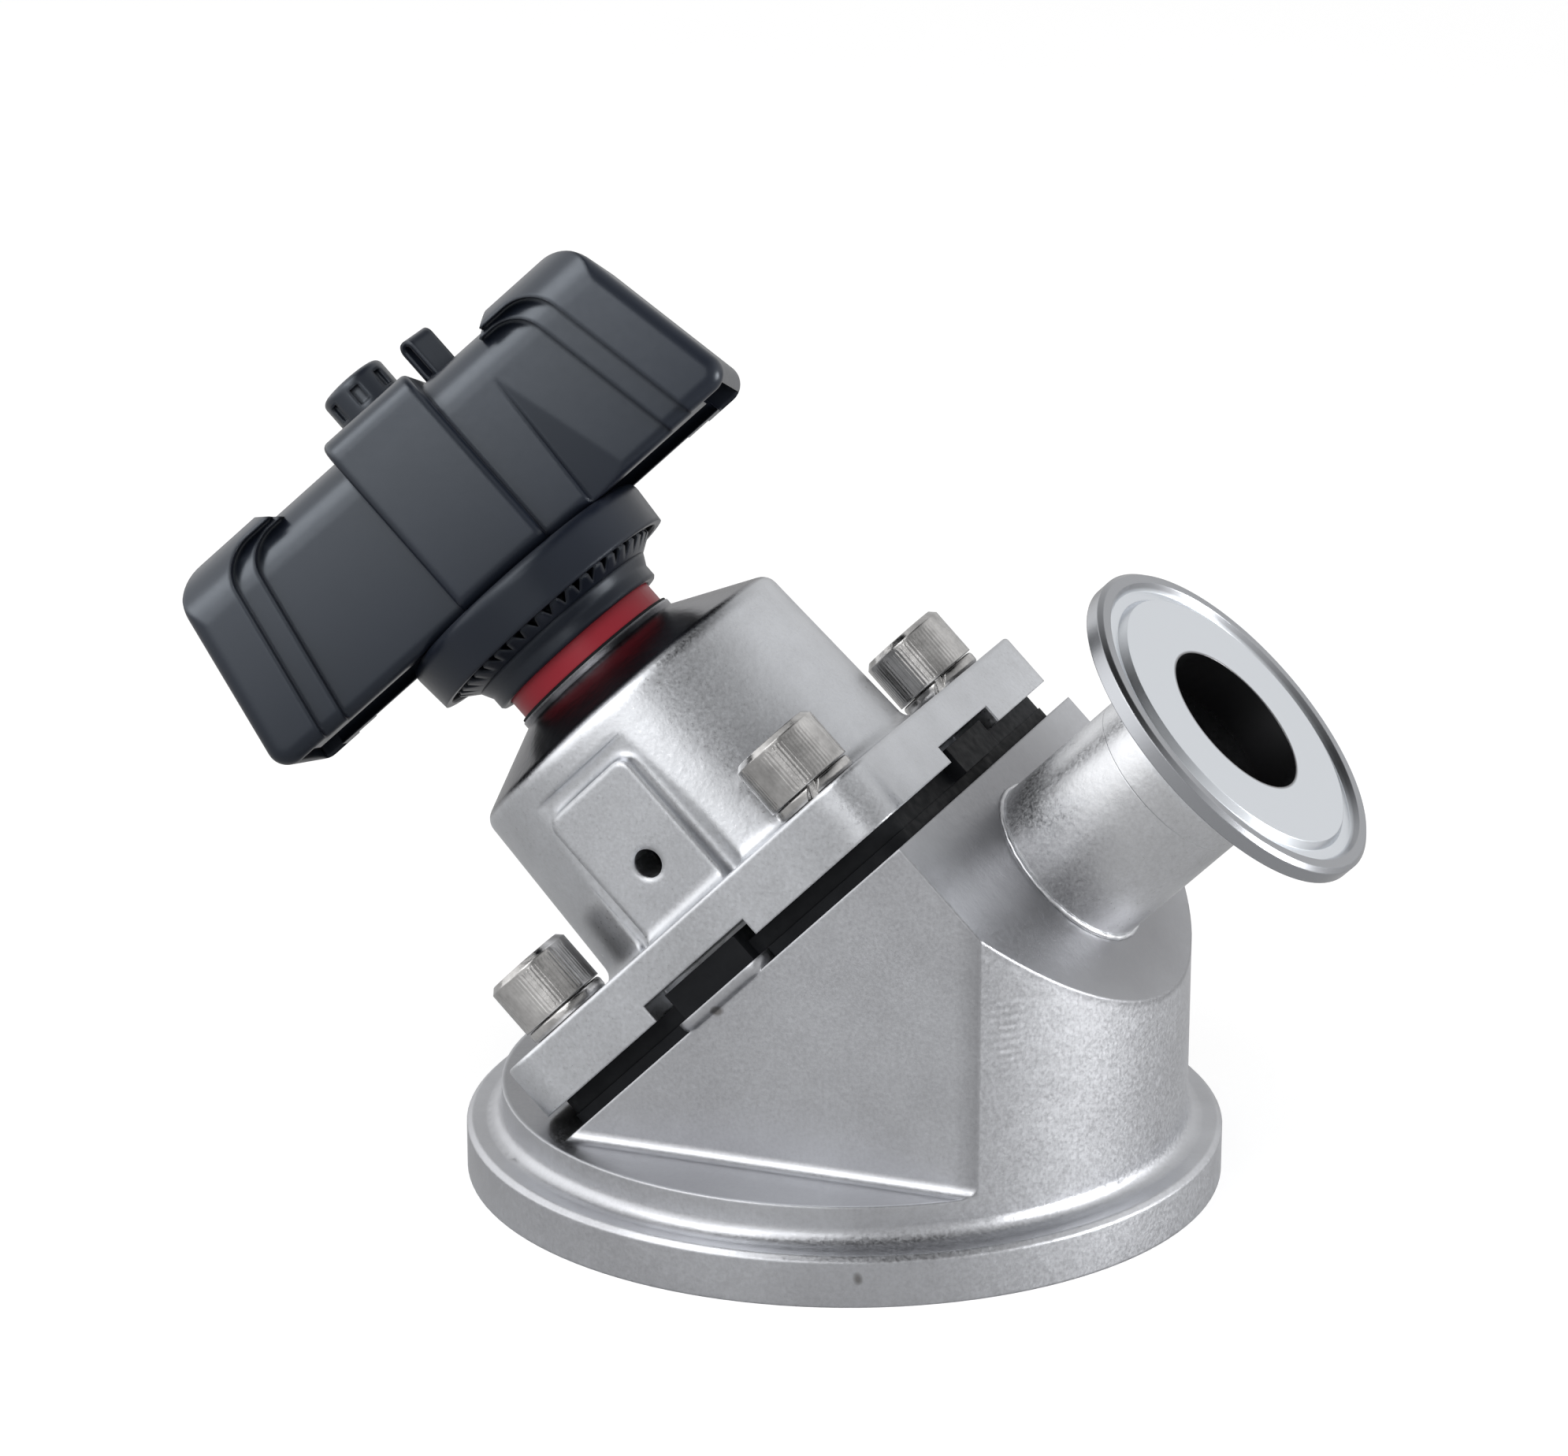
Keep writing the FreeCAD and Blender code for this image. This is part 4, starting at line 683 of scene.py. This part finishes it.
def make_world():
    """White where the camera looks, and the patches of a studio in what the metal mirrors."""
    world = bpy.data.worlds.new("studio")
    bpy.context.scene.world = world
    world.use_nodes = True
    tree = world.node_tree

    def node(kind, operation=None, *inputs):
        made = tree.nodes.new("ShaderNode" + kind)
        if operation:
            made.operation = operation
        for index, value in enumerate(inputs):
            if isinstance(value, bpy.types.NodeSocket):
                tree.links.new(value, made.inputs[index])
            else:
                made.inputs[index].default_value = value
        return made.outputs

    path = node("LightPath")
    way = node("TexCoord")["Generated"]
    mirrored = 0.0
    for turn, rise, strength in STUDIO.values():
        turn, rise = math.radians(turn), math.radians(rise)
        level = RIGHT * math.sin(turn) + FRONT * math.cos(turn)
        axis = level * math.cos(rise) + UP * math.sin(rise)
        towards = node("VectorMath", "DOT_PRODUCT", way, axis)["Value"]
        patch = node("MapRange", None, towards, PATCH_EDGE, 1.0, 0.0, strength)["Result"]
        mirrored = node("Math", "ADD", mirrored, patch)[0]
    mirror_ray = node("Math", "MAXIMUM", path["Is Glossy Ray"], path["Is Transmission Ray"])[0]
    lit = node("MapRange", None, mirror_ray, 0.0, 1.0, DAYLIGHT, mirrored)["Result"]
    seen = node("MapRange", None, path["Is Camera Ray"], 0.0, 1.0, lit, BACKDROP)["Result"]
    background = tree.nodes["Background"]
    tree.links.new(seen, background.inputs["Strength"])
    background.inputs["Color"].default_value = WHITE


def make_lamps():
    """Soft rectangular lamps, all turned to the valve's middle."""
    for name, (place, size, power) in LAMPS.items():
        data = bpy.data.lights.new(name, "AREA")
        data.shape = "RECTANGLE"
        data.size, data.size_y = size
        data.energy = power
        lamp = bpy.data.objects.new(name, data)
        bpy.context.scene.collection.objects.link(lamp)
        lamp.location = place
        lamp.rotation_euler = (LAMP_AIM - Vector(place)).to_track_quat("-Z", "Y").to_euler()


def make_camera():
    """The photograph's camera."""
    level = Vector((math.cos(CAMERA_AZIMUTH), math.sin(CAMERA_AZIMUTH), 0))
    away = Vector((math.sin(CAMERA_AZIMUTH), -math.cos(CAMERA_AZIMUTH), 0))
    back = away * math.cos(CAMERA_ELEVATION) + UP * math.sin(CAMERA_ELEVATION)
    upright = back.cross(level)
    right = level * math.cos(CAMERA_ROLL) + upright * math.sin(CAMERA_ROLL)
    up = upright * math.cos(CAMERA_ROLL) - level * math.sin(CAMERA_ROLL)
    spot = right * AIM_ACROSS + up * AIM_UP + back * CAMERA_DISTANCE
    data = bpy.data.cameras.new("camera")
    data.sensor_width = SENSOR
    data.lens = FOCAL_PIXELS * SENSOR / PHOTO_WIDTH
    data.clip_start = CLIP_START
    camera = bpy.data.objects.new("camera", data)
    bpy.context.scene.collection.objects.link(camera)
    turn = Matrix((right, up, back)).transposed().to_4x4()
    camera.matrix_world = Matrix.Translation(spot) @ turn
    bpy.context.scene.camera = camera


bpy.context.scene.view_settings.view_transform = "Standard"
make_camera()
materials = make_materials()
dress_nodes(materials)
make_washers(materials["spring_washers"])
make_weld(materials["outlet_tube"])
make_floor()
make_world()
make_lamps()
